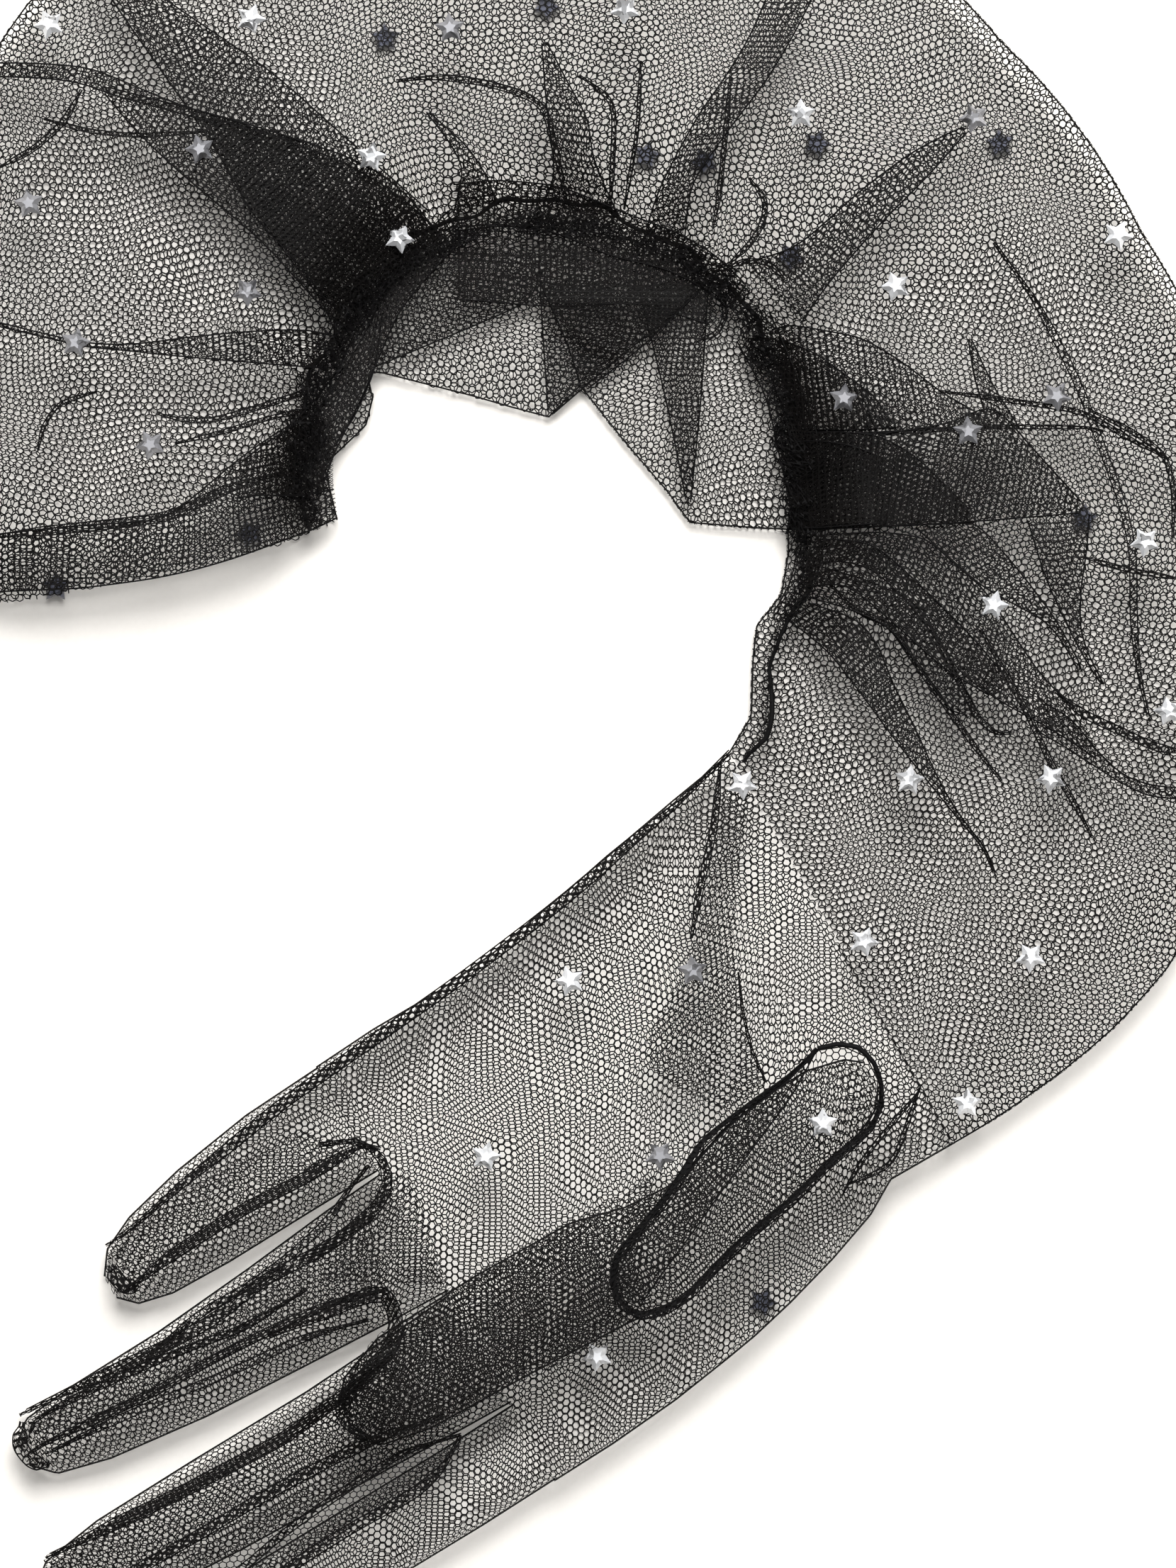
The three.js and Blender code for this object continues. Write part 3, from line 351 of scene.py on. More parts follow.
class GloveSeams(bpy.types.PropertyGroup):
    """The sewn lines, the heaped yarn along the folds and the elastic."""
    seam: length_property("Seam", "Radius of the cord in the thumb's seam", 0.45)
    fold: length_property("Fold", "Radius of the yarn heaped up along a wide fold", 0.19)
    line: length_property("Line", "Radius of the yarn heaped up along a narrow fold or seam", 0.16)
    colour: colour_property("Thread", "Colour of the thread", (0.0032, 0.003, 0.0032))


class GloveStones(bpy.types.PropertyGroup):
    """The star stones."""
    clear: colour_property("Foil", "Colour of the stones seen from the front", (0.93, 0.94, 0.96))
    # Painted shade: a darker copy of the stones' colour for those under the upper cloth
    veiled_shade: colour_property("Veiled", "Colour of the stones under the upper cloth", (0.36, 0.36, 0.38))
    backing: colour_property("Backing", "Colour of the stones seen from behind", (0.08, 0.085, 0.12))


# Curves and charts

def table_at(table, column, at):
    """A column of a table at the given values of the first one, on straight lines between rows."""
    return np.interp(at, table[:, 0], table[:, column])


def blurred(values, width, axis):
    """Values averaged along an axis with a bell-shaped weight of the given width in steps."""
    reach = math.ceil(3 * width)
    weight = np.exp(-0.5 * (np.arange(-reach, reach + 1) / width) ** 2)
    weight /= weight.sum()
    ends = [(0, 0)] * values.ndim
    ends[axis] = (reach, reach)
    padded = np.pad(values, ends, mode="edge")
    return np.apply_along_axis(lambda row: np.convolve(row, weight, mode="valid"), axis, padded)


def bilinear(grid, across, along):
    """A grid's values at fractional places: the four corners of a cell, each by its share of the cell."""
    rows, columns = grid.shape[:2]
    across = np.clip(across, 0, rows - 1.001)
    along = np.clip(along, 0, columns - 1.001)
    r, c = across.astype(int), along.astype(int)
    fr, fc = (across - r)[:, None], (along - c)[:, None]
    if grid.ndim == 2:
        fr, fc = fr[:, 0], fc[:, 0]
    low = grid[r, c] * (1 - fc) + grid[r, c + 1] * fc
    high = grid[r + 1, c] * (1 - fc) + grid[r + 1, c + 1] * fc
    return low * (1 - fr) + high * fr


def lift_at(turn):
    """How far the underside is raised over its stones at a turn, from 0 to 1."""
    near = [1 - np.maximum(np.maximum(low - turn, turn - high), 0) / LIFT_BLEND for low, high in LIFTED]
    return np.clip(np.maximum.reduce(near), 0, 1)


def sleeve_point(turn, share, height):
    """A point of the sleeve. Outside the elastic it lies on the ring at a share of the way from the groove
    to the rim, and inside it on the straight line from the groove to the frill's edge."""
    gather, rim, edge_x, edge_y = [table_at(SLEEVE, column, turn) for column in (GATHER, RIM, EDGE_X, EDGE_Y)]
    outwards = np.clip(share, 0, 1)
    inwards = np.clip(-share, 0, 1)
    radius = gather + outwards * (rim - gather)
    x = RING_CENTRE[0] + radius * np.cos(np.radians(turn))
    y = RING_CENTRE[1] + radius * np.sin(np.radians(turn))
    x = x + inwards * (edge_x - x)
    y = y + inwards * (edge_y - y)
    return np.stack([x, y, height], -1)


def inside_outline(x, y, outline):
    """Whether places lie inside a closed outline: a ray to the right crosses it an odd number of times."""
    hits = np.zeros(x.shape, bool)
    for (x0, y0), (x1, y1) in zip(outline, np.roll(outline, -1, 0)):
        if y0 != y1:
            across = (y0 > y) != (y1 > y)
            hits ^= across & (x < x0 + (y - y0) / (y1 - y0) * (x1 - x0))
    return hits


def ring_share(x, y):
    """A place's turn round the ring and its share of the way from the elastic to the rim, under 0 inside."""
    turn = (np.degrees(np.arctan2(y - RING_CENTRE[1], x - RING_CENTRE[0])) + 100) % 360 - 100
    turn = np.clip(turn, SLEEVE[0, 0], SLEEVE[-1, 0])
    radius = np.hypot(x - RING_CENTRE[0], y - RING_CENTRE[1])
    gather, rim = table_at(SLEEVE, GATHER, turn), table_at(SLEEVE, RIM, turn)
    past = radius - gather
    return turn, np.where(past >= 0, past / (rim - gather), past / FRILL_DEPTH)


def sleeve_height(turn, share):
    """Height of the sleeve's upper side at a turn and a share of the way outwards: the table's height times
    the flattening at the wrist, which leaves the groove alone."""
    flat = table_at(WRIST_FLATTENING, 1, turn)
    return table_at(FRONT_HEIGHT, 1, share) * np.where(share > GROOVE_SHARE, flat, 1)


# How wide the cloth rises round a stone, and how far under the stone's foot it stays
STONE_REACH = 6.0
STONE_GAP = 0.25


def rise_to_stones(x, y):
    """How far the upper side rises to the stones sewn on it: for each stone what its foot stands over the
    smooth height there, times a bell of the distance to it."""
    rise = np.zeros_like(x)
    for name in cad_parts:
        if name.startswith("star_") and not name.startswith("star_under"):
            low, high = (np.array(corner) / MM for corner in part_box(name))
            stone_x, stone_y = (low + high)[:2] / 2
            turn, share = ring_share(stone_x, stone_y)
            if GROOVE_SHARE < share < 1 and (stone_x > WRIST_X or stone_y > OVER_HAND):
                missing = low[2] - STONE_GAP - sleeve_height(turn, share)
                rise += missing * np.exp(-((x - stone_x) ** 2 + (y - stone_y) ** 2) / STONE_REACH ** 2)
    return rise


class Sleeve:
    """One side of the sleeve: an even net seen from above, drawn sideways by soft waves.

    u and v are plan measures from a corner. Long waves of sines swing the net's lines to and fro all over,
    and short ones round the ring draw it together in lines that fade out away from the elastic."""

    # Steps along the long sides and the cuff of the outline, and how far it lies outside the walls' own
    STEPS, CUFF_STEPS, MARGIN = 160, 12, 0.3
    # The grid of depths inside the outline, how far past it knots are caught, and the depth at which the
    # waves have their full size
    GRID_STEP, EDGE_REACH, EDGE_FADE = 1.0, 0.8, 9.0
    # The long waves: their number, the range of their lengths, and their swing for each millimetre of it
    LONG_WAVES, LONG_LENGTHS, LONG_SWING = 9, (18, 70), 0.026
    # The short waves: their number, how many fit round the ring, their lean and swing, the radius at which
    # they stand straight, and the share of the way outwards over which they fade
    SHORT_WAVES, SHORT_COUNTS, SHORT_LEAN, SHORT_SWING = 7, (18, 62), 0.09, 0.21
    STRAIGHT_RADIUS, SHORT_FADE = 44, 0.22
    # How far the waves lift the cloth: for each millimetre of long swing, for each short wave, and then on
    # the upper and the lower side, which stays clear of the table
    LONG_RIPPLE, SHORT_RIPPLE, UPPER_RIPPLE, LOWER_RIPPLE, LOWEST = 0.25, 0.5, 0.35, 0.25, 0.15

    def __init__(self, upper, seed):
        self.upper = upper
        turns = np.linspace(START_TURN, END_TURN, self.STEPS)
        ends = np.linspace(0, 1, self.CUFF_STEPS)[1:-1]
        full = np.ones(self.STEPS)
        rim = sleeve_point(np.linspace(START_TURN, END_TURN - CUFF_SLANT, self.STEPS), full, turns)
        cuff = sleeve_point(END_TURN - CUFF_SLANT * ends, ends, ends)
        frill = sleeve_point(turns, -full, turns)
        outline = np.concatenate([rim, cuff[::-1], frill[::-1]])[:, :2]
        ahead = np.roll(outline, -2, 0) - np.roll(outline, 2, 0)
        out = np.stack([ahead[:, 1], -ahead[:, 0]], 1) / np.maximum(np.hypot(*ahead.T), 1e-6)[:, None]
        self.outline = outline + self.MARGIN * out
        self.low = self.outline.min(0) - self.EDGE_REACH
        self.size = np.ptp(self.outline, axis=0) + 2 * self.EDGE_REACH
        self.depth = self.depth_grid()
        self.slope = np.stack(np.gradient(self.depth, self.GRID_STEP), -1)
        rng = np.random.default_rng(seed)
        self.long = [(rng.uniform(*self.LONG_LENGTHS), rng.uniform(0, 2 * np.pi, 3))
                     for _ in range(self.LONG_WAVES)]
        self.short = [(rng.integers(*self.SHORT_COUNTS), rng.uniform(-self.SHORT_LEAN, self.SHORT_LEAN),
                       rng.uniform(0, 2 * np.pi)) for _ in range(self.SHORT_WAVES)]

    def depth_grid(self):
        """How far inside the outline each place of a grid lies: its distance to the nearest side, under 0
        outside."""
        step = self.GRID_STEP
        x, y = np.meshgrid(*(np.arange(low, low + size + 2 * step, step)
                             for low, size in zip(self.low, self.size)), indexing="ij")
        nearest = np.full(x.shape, np.inf)
        for (x0, y0), (x1, y1) in zip(self.outline, np.roll(self.outline, -1, 0)):
            length = max((x1 - x0) ** 2 + (y1 - y0) ** 2, 1e-12)
            part = np.clip(((x - x0) * (x1 - x0) + (y - y0) * (y1 - y0)) / length, 0, 1)
            nearest = np.minimum(nearest, np.hypot(x - x0 - part * (x1 - x0), y - y0 - part * (y1 - y0)))
        return np.where(inside_outline(x, y, self.outline), nearest, -nearest)

    def depth_at(self, u, v):
        """The grid's depth at any places, as an array of their shape."""
        depth = bilinear(self.depth, np.ravel(u) / self.GRID_STEP, np.ravel(v) / self.GRID_STEP)
        return depth.reshape(np.shape(u))

    def inside(self, u, v):
        """Knots are caught a little past the outline, but not at the wrist, where the hand's net goes on."""
        return self.depth_at(u, v) > -self.EDGE_REACH * self.off_wrist(u)

    def off_wrist(self, u):
        """Whether a place lies clear of the straight end at the wrist."""
        return u + self.low[0] > RING_CENTRE[0] + 1

    def swing(self, x, y, turn, share):
        """How far the waves move a place in X and Y, and how far they lift it: the long ones along a course
        of their own, and the short ones round the ring, by the exponential of the share."""
        dx, dy, ripple, aside = (np.zeros_like(x) for _ in range(4))
        for wave, (course, start, aim) in self.long:
            along = x * np.cos(course) + y * np.sin(course)
            swing = self.LONG_SWING * wave * np.sin(2 * np.pi * along / wave + start)
            dx, dy = dx + swing * np.cos(aim), dy + swing * np.sin(aim)
            ripple += self.LONG_RIPPLE * swing
        radius = np.hypot(x - RING_CENTRE[0], y - RING_CENTRE[1])
        near = np.exp(-np.abs(share) / self.SHORT_FADE)
        tilt = np.radians(turn)
        for count, lean, start in self.short:
            angle = count * tilt + lean * (radius - self.STRAIGHT_RADIUS) + start
            aside += self.SHORT_SWING * near * radius / count * np.sin(angle)
            ripple += self.SHORT_RIPPLE * near * np.cos(angle)
        return dx - aside * np.sin(tilt), dy + aside * np.cos(tilt), ripple

    def place(self, u, v):
        """Knots just outside the outline are drawn back on to it, so that the cells end on the edge. Then
        the waves swing them, less and less towards the edge, and the tables of heights lift them."""
        depth = self.depth_at(u, v)
        slope = bilinear(self.slope, u / self.GRID_STEP, v / self.GRID_STEP)
        back = np.maximum(-depth, 0) * self.off_wrist(u)
        x, y = u + back * slope[:, 0] + self.low[0], v + back * slope[:, 1] + self.low[1]
        turn, share = ring_share(x, y)
        fade = np.clip(depth / self.EDGE_FADE, 0, 1)
        dx, dy, ripple = self.swing(x, y, turn, share)
        x, y = x + fade * dx, y + fade * dy
        if self.upper:
            height = sleeve_height(turn, share) + rise_to_stones(x, y) + self.UPPER_RIPPLE * fade * ripple
        else:
            raised = table_at(BACK_LIFT, 1, share) * lift_at(turn) * STONE_LIFT * (share > 0)
            height = np.maximum(table_at(BACK_HEIGHT, 1, share), raised)
            height = height + self.LOWER_RIPPLE * fade * np.abs(ripple)
        return np.stack([x, y, np.maximum(height, self.LOWEST)], -1)


# The sines that swing a tube's net: their size, their lengths over two pi along and round it, and their start
SWING_ALONG = ((0.9, np.inf, 6.1, 1.3), (0.7, 9.7, 11.0, 0.0))
SWING_ROUND = ((0.9, 7.3, np.inf, 0.6), (0.6, 15.0, 8.0, 0.0))


def swung(u, v, waves):
    """The sum of the waves at a place: size times the sine of u and v over their lengths, plus the start."""
    return sum(size * np.sin(u / along + v / about + start) for size, along, about, start in waves)


class Tube:
    """A flattened tube of cloth along X: u runs along it and v round it, both in millimetres.

    Its section is a squared oval: across and up, the sine and cosine of an angle to a power under one."""

    # Steps along and round the tube
    ROWS, POINTS = 120, 241
    # How far from its two ends and from its seam the swing of its net grows. It is full on a tube this long
    # round, and no less than a part of that on a thin one
    END_FADE, SEAM_FADE, FULL_ROUND, LEAST_SWING = 8, 4, 60, 0.3

    def __init__(self, rows, squareness, foot=0.0, lifted=None):
        rows = np.array(sorted(rows), float)
        self.x = np.linspace(rows[0, 0], rows[-1, 0], self.ROWS)
        y, width, height = (np.interp(self.x, rows[:, 0], rows[:, c]) for c in (1, 2, 3))
        corner = np.linspace(0, 2 * np.pi, self.POINTS)
        across, up = (np.sign(part) * np.abs(part) ** squareness for part in (np.cos(corner), np.sin(corner)))
        ring_y = y[:, None] + width[:, None] / 2 * across
        ring_z = foot + height[:, None] / 2 * (1 + up)
        if lifted is not None:
            ring_z = lifted(self.x[:, None], ring_y, ring_z)
        step = np.hypot(np.diff(ring_y), np.diff(ring_z))
        length = np.concatenate([np.zeros((self.ROWS, 1)), np.cumsum(step, 1)], 1)
        self.round = length[:, -1]
        self.points = np.empty((self.ROWS, self.POINTS, 3))
        for i, x in enumerate(self.x):
            at = np.linspace(0, 1, self.POINTS) * self.round[i]
            self.points[i] = np.stack([np.full(self.POINTS, x), np.interp(at, length[i], ring_y[i]),
                                       np.interp(at, length[i], ring_z[i])], 1)
        self.length = self.x[-1] - self.x[0]

    def inside(self, u, v):
        """The cloth between the tube's two ends, once round it."""
        return (u >= 0) & (u <= self.length) & (v >= 0) & (v <= self.around(u))

    def sides(self):
        """The tube's two outermost lines, seen from above."""
        rows = np.arange(self.ROWS)
        return [self.points[rows, pick(self.points[:, :, 1], axis=1)] for pick in (np.argmin, np.argmax)]

    def around(self, u):
        """The length once round the tube at a place along it."""
        return np.interp(u, self.x - self.x[0], self.round)

    def place(self, u, v):
        """The net's lines are swung a little along and round the tube by sines, but not at its ends."""
        round_here = self.around(u)
        swing = np.clip(np.minimum(u, self.length - u) / self.END_FADE, 0, 1)
        swing = swing * np.clip(round_here / self.FULL_ROUND, self.LEAST_SWING, 1)
        aside = swing * np.clip(np.minimum(v, round_here - v) / self.SEAM_FADE, 0, 1)
        u, v = u + swing * swung(u, v, SWING_ALONG), v + aside * swung(u, v, SWING_ROUND)
        rows = np.clip(u / self.length, 0, 1) * (self.ROWS - 1)
        return bilinear(self.points, rows, np.clip(v / round_here, 0, 1) * (self.POINTS - 1))


# Meshes

def make_piece(name, vertices, triangles, quads, cloth=None):
    """An object from vertices in millimetres and index arrays, with a map of its cloth where given."""
    mesh = bpy.data.meshes.new(name)
    corners = np.concatenate([triangles.ravel(), quads.ravel()]).astype(np.int32)
    sizes = np.concatenate([np.full(len(triangles), 3), np.full(len(quads), 4)]).astype(np.int32)
    mesh.vertices.add(len(vertices))
    mesh.vertices.foreach_set("co", (np.asarray(vertices) * MM).astype(np.float32).ravel())
    mesh.loops.add(len(corners))
    mesh.loops.foreach_set("vertex_index", corners)
    mesh.polygons.add(len(sizes))
    mesh.polygons.foreach_set("loop_start", np.concatenate([[0], np.cumsum(sizes)[:-1]]).astype(np.int32))
    if cloth is not None:
        span = np.ptp(cloth, axis=0)
        unit = (cloth - cloth.min(0)) / np.maximum(span, 1e-6)
        layer = mesh.uv_layers.new(name="OFBake", do_init=False)
        layer.uv.foreach_set("vector", (0.01 + 0.98 * unit)[corners].astype(np.float32).ravel())
    mesh.update(calc_edges=True)
    mesh.validate()
    piece = bpy.data.objects.new(name, mesh)
    bpy.context.collection.objects.link(piece)
    return piece


def net(width, height, pitch, yarn, inside, place, turned=False):
    """An open net of hexagons over the cloth that inside accepts, carried on to a surface by place.

    Each knot is a small triangle that joins three flat yarns, and each yarn is a quad between two knots."""
    bond = pitch / math.sqrt(3)
    size_u, size_v = (height, width) if turned else (width, height)
    columns = int(size_u / pitch) + 3
    rows = int(size_v / (pitch * math.sqrt(3) / 2)) + 3
    j, i = np.mgrid[0:rows, 0:columns]
    a_u = (i + 0.5 * (j % 2)) * pitch
    a_v = j * pitch * math.sqrt(3) / 2
    knots = np.stack([np.stack([a_u, a_v], -1), np.stack([a_u, a_v + bond], -1)])
    circle = yarn / math.sqrt(3)
    turns = np.radians([[30, 150, 270], [90, 330, 210]])
    corner = circle * np.stack([np.cos(turns), np.sin(turns)], -1)
    points = knots[:, :, :, None, :] + corner[:, None, None, :, :]
    if turned:
        points = points[..., ::-1]
        knots = knots[..., ::-1]
    ok = inside(knots[..., 0], knots[..., 1])
    index = np.arange(points[..., 0].size).reshape(points.shape[:-1])
    a, b = index
    a_ok, b_ok = ok
    odd = (j % 2).astype(int)
    down = j - 1
    quads = []
    joined = [np.zeros_like(a_ok), np.zeros_like(b_ok)]

    def join(j_to, i_to, start, end):
        """The yarns from each first knot to the second knot of a cell, between the given corners of both."""
        fine = (j_to >= 0) & (i_to >= 0) & (i_to < columns)
        jt, it = np.clip(j_to, 0, rows - 1), np.clip(i_to, 0, columns - 1)
        use = fine & a_ok & b_ok[jt, it]
        joined[0] |= use
        np.logical_or.at(joined[1], (jt[use], it[use]), True)
        quads.append(np.stack([a[..., start[0]][use], b[jt, it][..., end[0]][use],
                               b[jt, it][..., end[1]][use], a[..., start[1]][use]], -1))

    join(j, i, (0, 1), (1, 2))
    join(down, i + odd, (2, 0), (2, 0))
    join(down, i - 1 + odd, (1, 2), (0, 1))
    quads = np.concatenate(quads)
    triangles = np.concatenate([a[joined[0]], b[joined[1]]])
    if turned:
        quads, triangles = quads[:, ::-1], triangles[:, ::-1]
    used, inverse = np.unique(np.concatenate([quads.ravel(), triangles.ravel()]), return_inverse=True)
    cloth = points.reshape(-1, 2)[used]
    quads, triangles = np.split(inverse, [quads.size])
    return place(cloth[:, 0], cloth[:, 1]), triangles.reshape(-1, 3), quads.reshape(-1, 4), cloth


def halves(mesh, middle):
    """A net's two parts: the faces whose first corner lies before the middle of the cloth, and the rest."""
    points, triangles, quads, cloth = mesh
    for before in (True, False):
        three, four = (faces[(cloth[faces[:, 0], 0] < middle) == before] for faces in (triangles, quads))
        used, inverse = np.unique(np.concatenate([three.ravel(), four.ravel()]), return_inverse=True)
        three, four = np.split(inverse, [three.size])
        yield points[used], three.reshape(-1, 3), four.reshape(-1, 4), cloth[used]


def cord(path, radius, sides=6):
    """A round cord: a circle carried along a path, in the plane across it, closed by a cap at each end."""
    path = np.asarray(path, float)
    ahead = np.gradient(path, axis=0)
    ahead /= np.linalg.norm(ahead, axis=1, keepdims=True)
    aside = np.cross(ahead, [0, 0, 1.0])
    aside /= np.maximum(np.linalg.norm(aside, axis=1, keepdims=True), 1e-9)
    above = np.cross(aside, ahead)
    angle = np.linspace(0, 2 * np.pi, sides, endpoint=False)
    radius = np.broadcast_to(radius, len(path))[:, None, None]
    ring = np.cos(angle)[:, None] * aside[:, None, :] + np.sin(angle)[:, None] * above[:, None, :]
    points = (path[:, None, :] + radius * ring).reshape(-1, 3)
    row = np.arange(len(path) - 1)[:, None] * sides
    side = np.arange(sides)
    after = (side + 1) % sides
    quads = np.stack([row + side, row + after, row + sides + after, row + sides + side], -1).reshape(-1, 4)
    last = (len(path) - 1) * sides
    fan = np.arange(1, sides - 1)
    caps = np.concatenate([np.stack([0 * fan, fan + 1, fan], 1),
                           np.stack([last + 0 * fan, last + fan, last + fan + 1], 1)])
    along, around = np.divmod(np.arange(len(points)), sides)
    return points, caps, quads[:, ::-1], np.stack([along, around], 1)


def joined(parts):
    """Several meshes as one: their points end to end, each one's faces shifted past the points before."""
    firsts = np.cumsum([0] + [len(part[0]) for part in parts])
    shifted = [(points, triangles + first, quads + first, cloth)
               for (points, triangles, quads, cloth), first in zip(parts, firsts)]
    return tuple(np.concatenate(group) for group in zip(*shifted))


def finish_piece(piece, material, nodes=()):
    """Gives a piece its material, its body and the solids that it stands for."""
    piece.data.materials.append(material)
    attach(piece, BODY)
    if nodes:
        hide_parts(*nodes)


# How far past the rim a place still counts as over the sleeve, as a share
RIM_SLACK = 0.02


def sleeve_top(x, y):
    """Height of the sleeve's upper side over a place, by its turn and its share of the way outwards."""
    turn, share = ring_share(x, y)
    beside = (share > 1 + RIM_SLACK) | (turn <= SLEEVE[0, TURN]) | (turn >= SLEEVE[-1, TURN])
    return np.where(beside, 0, table_at(FRONT_HEIGHT, 1, np.clip(share, -1, 1)))


def tube_top(rows, squareness, foot, x, y):
    """Height of a lying tube's upper side over a place, and 0 beside it."""
    rows = np.array(sorted(rows), float)
    middle, width, height = (np.interp(x, rows[:, 0], rows[:, c]) for c in (1, 2, 3))
    aside = np.clip(np.abs(y - middle) / (width / 2), 0, 1) ** (1 / squareness)
    top = foot + height / 2 * (1 + np.sqrt(1 - aside ** 2) ** squareness)
    return np.where((x >= rows[0, 0]) & (x <= rows[-1, 0]) & (aside < 1), top, 0)


def cloth_top(x, y):
    """Height of the uppermost cloth over a place, whichever tube or sleeve it belongs to."""
    fingers = [tube_top(rows, FINGER_SHAPE, 0, x, y) for rows in FINGERS.values()]
    return np.maximum.reduce([sleeve_top(x, y), tube_top(HAND_ROWS, HAND_SHAPE, 0, x, y), *fingers,
                              tube_top(THUMB, THUMB_SHAPE, THUMB_FOOT, x, y)])


# How many of a course's blur widths fit between two of its places, and which part of it is an end
SOFT_PARTS, END_PART = 3.2, 6


def even_path(places, count):
    """Points at even distances along a smooth course through places."""
    places = np.asarray(places, float)
    steps = np.concatenate([[0], np.cumsum(np.hypot(*np.diff(places, axis=0).T))])
    fine = np.linspace(0, steps[-1], count)
    path = np.stack([np.interp(fine, steps, places[:, c]) for c in (0, 1)], 1)
    soft = blurred(path, count / (SOFT_PARTS * len(places)), 0)
    ends = np.minimum(np.arange(count), np.arange(count)[::-1])[:, None] / (count / END_PART)
    return path + (soft - path) * np.clip(ends, 0, 1)


class Band:
    """A fold laid over the cloth: layers that run to and fro between two edges, each over the last.

    u runs across it, through all its layers, and v along its middle, both in millimetres of cloth. The place
    across swings as a triangle wave of u over the width, which the gathering makes wider than the fold. On
    the hand it lies level across, as high as the highest cloth under it."""

    STEPS_ALONG, STEPS_ACROSS = 90, 9
    # The cloth drawn together at the elastic spreads out over this length, and no fold is narrower than this
    GATHER_FADE, LEAST_WIDTH = 24, 0.9
    # Over this length the fold rises from its ends, where it keeps a part of its height
    END_FADE, END_LIFT = 4, 0.15
    # Steps to each side over which the highest cloth counts, and the blur of the height there and elsewhere
    LEVEL_REACH, LEVEL_BLUR, TOP_BLUR = 3, 5, 2
    # Every so many steps the heaped yarn along an edge has a point, and this many sides
    CREASE_STEP, CREASE_SIDES = 3, 3

    def __init__(self, left, right, layers, lift, gathered=0.6, step=0.3):
        self.left, self.right = even_path(left, self.STEPS_ALONG), even_path(right, self.STEPS_ALONG)
        middle = (self.left + self.right) / 2
        self.along = np.concatenate([[0], np.cumsum(np.hypot(*np.diff(middle, axis=0).T))])
        self.length = self.along[-1]
        width = np.hypot(*(self.left - self.right).T)
        extra = 1 + gathered * np.exp(-self.along / self.GATHER_FADE)
        self.width = np.maximum(width * extra, self.LEAST_WIDTH)
        self.layers, self.step = layers, step
        share = np.linspace(0, 1, self.STEPS_ACROSS)[None, :, None]
        flat = self.left[:, None] * (1 - share) + self.right[:, None] * share
        top = self.height_under(flat)
        ends = np.clip(np.minimum(self.along, self.length - self.along) / self.END_FADE, self.END_LIFT, 1)
        self.points = np.concatenate([flat, (top + lift * ends[:, None])[..., None]], 2)

    def height_under(self, flat):
        """The blurred height of the cloth under the fold, on the hand the highest one near each step."""
        top = cloth_top(flat[..., 0], flat[..., 1])
        if flat[..., 0].max() >= WRIST_X or flat[..., 1].max() >= OVER_HAND:
            return blurred(top, self.TOP_BLUR, 0)
        beside = np.pad(top.max(1), self.LEVEL_REACH, mode="edge")
        shifts = range(2 * self.LEVEL_REACH + 1)
        highest = np.max([beside[shift:shift + self.STEPS_ALONG] for shift in shifts], axis=0)
        return np.repeat(blurred(highest[:, None], self.LEVEL_BLUR, 0), self.STEPS_ACROSS, 1)

    def inside(self, u, v):
        """The cloth of all the layers, which is as wide as the gathered fold at each place along it."""
        wide = self.layers * np.interp(v, self.along, self.width)
        return (u >= 0) & (v >= 0) & (v <= self.length) & (u <= wide)

    def place(self, u, v):
        """The layer is the whole part of u over the width, and the place across it swings with the rest."""
        part = np.clip(u / np.interp(v, self.along, self.width), 0, self.layers)
        swing = 1 - np.abs(part % 2 - 1)
        rows = np.interp(v, self.along, np.arange(self.STEPS_ALONG))
        points = bilinear(self.points, rows, swing * (self.STEPS_ACROSS - 1))
        points[:, 2] += self.step * part
        return points

    def net(self, pitch, yarn):
        """The fold's net."""
        return net(self.layers * self.width.max(), self.length, pitch, yarn, self.inside, self.place)

    def creases(self, radius):
        """The yarn that heaps up where the cloth turns back, along the two edges."""
        return [cord(self.points[::self.CREASE_STEP, side] + [0, 0, self.step], radius, self.CREASE_SIDES)
                for side in (0, -1)]


# A narrow band widens over this many steps from its ends, where it has a part of its width
LINE_END_STEPS, LINE_END_WIDTH = 18, 0.35


def line_band(course, width, layers=3, lift=0.3):
    """A narrow band along a course, its width easing off towards the two ends."""
    path = even_path(course, Band.STEPS_ALONG)
    ahead = np.gradient(path, axis=0)
    aside = np.stack([-ahead[:, 1], ahead[:, 0]], 1) / np.hypot(*ahead.T)[:, None]
    steps = np.arange(Band.STEPS_ALONG)
    half = width / 2 * np.clip(np.minimum(steps, steps[::-1]) / LINE_END_STEPS, LINE_END_WIDTH, 1)[:, None]
    return Band(path - half * aside, path + half * aside, layers, lift, gathered=0, step=0.15)


def seam_band(course, width):
    """A turned-in seam: a narrow band of many layers close on the cloth."""
    return line_band(course, width, layers=5, lift=0.1)


# The scrunched strips: knots of their random course, how their phase wanders from knot to knot and its blur,
# the spread and blur of their curls' size, its limits, and the curls' reach sideways, up and across
RUFFLE_KNOTS = 240
PHASE_WANDER, PHASE_BLUR = 1.1, 1.2
SIZE_SPREAD, SIZE_BLUR, SIZE_LIMITS = 1.8, 1.3, (0.35, 2.1)
CURL_ASIDE, CURL_UP, CURL_ACROSS = 1.1, 1.2, 0.66


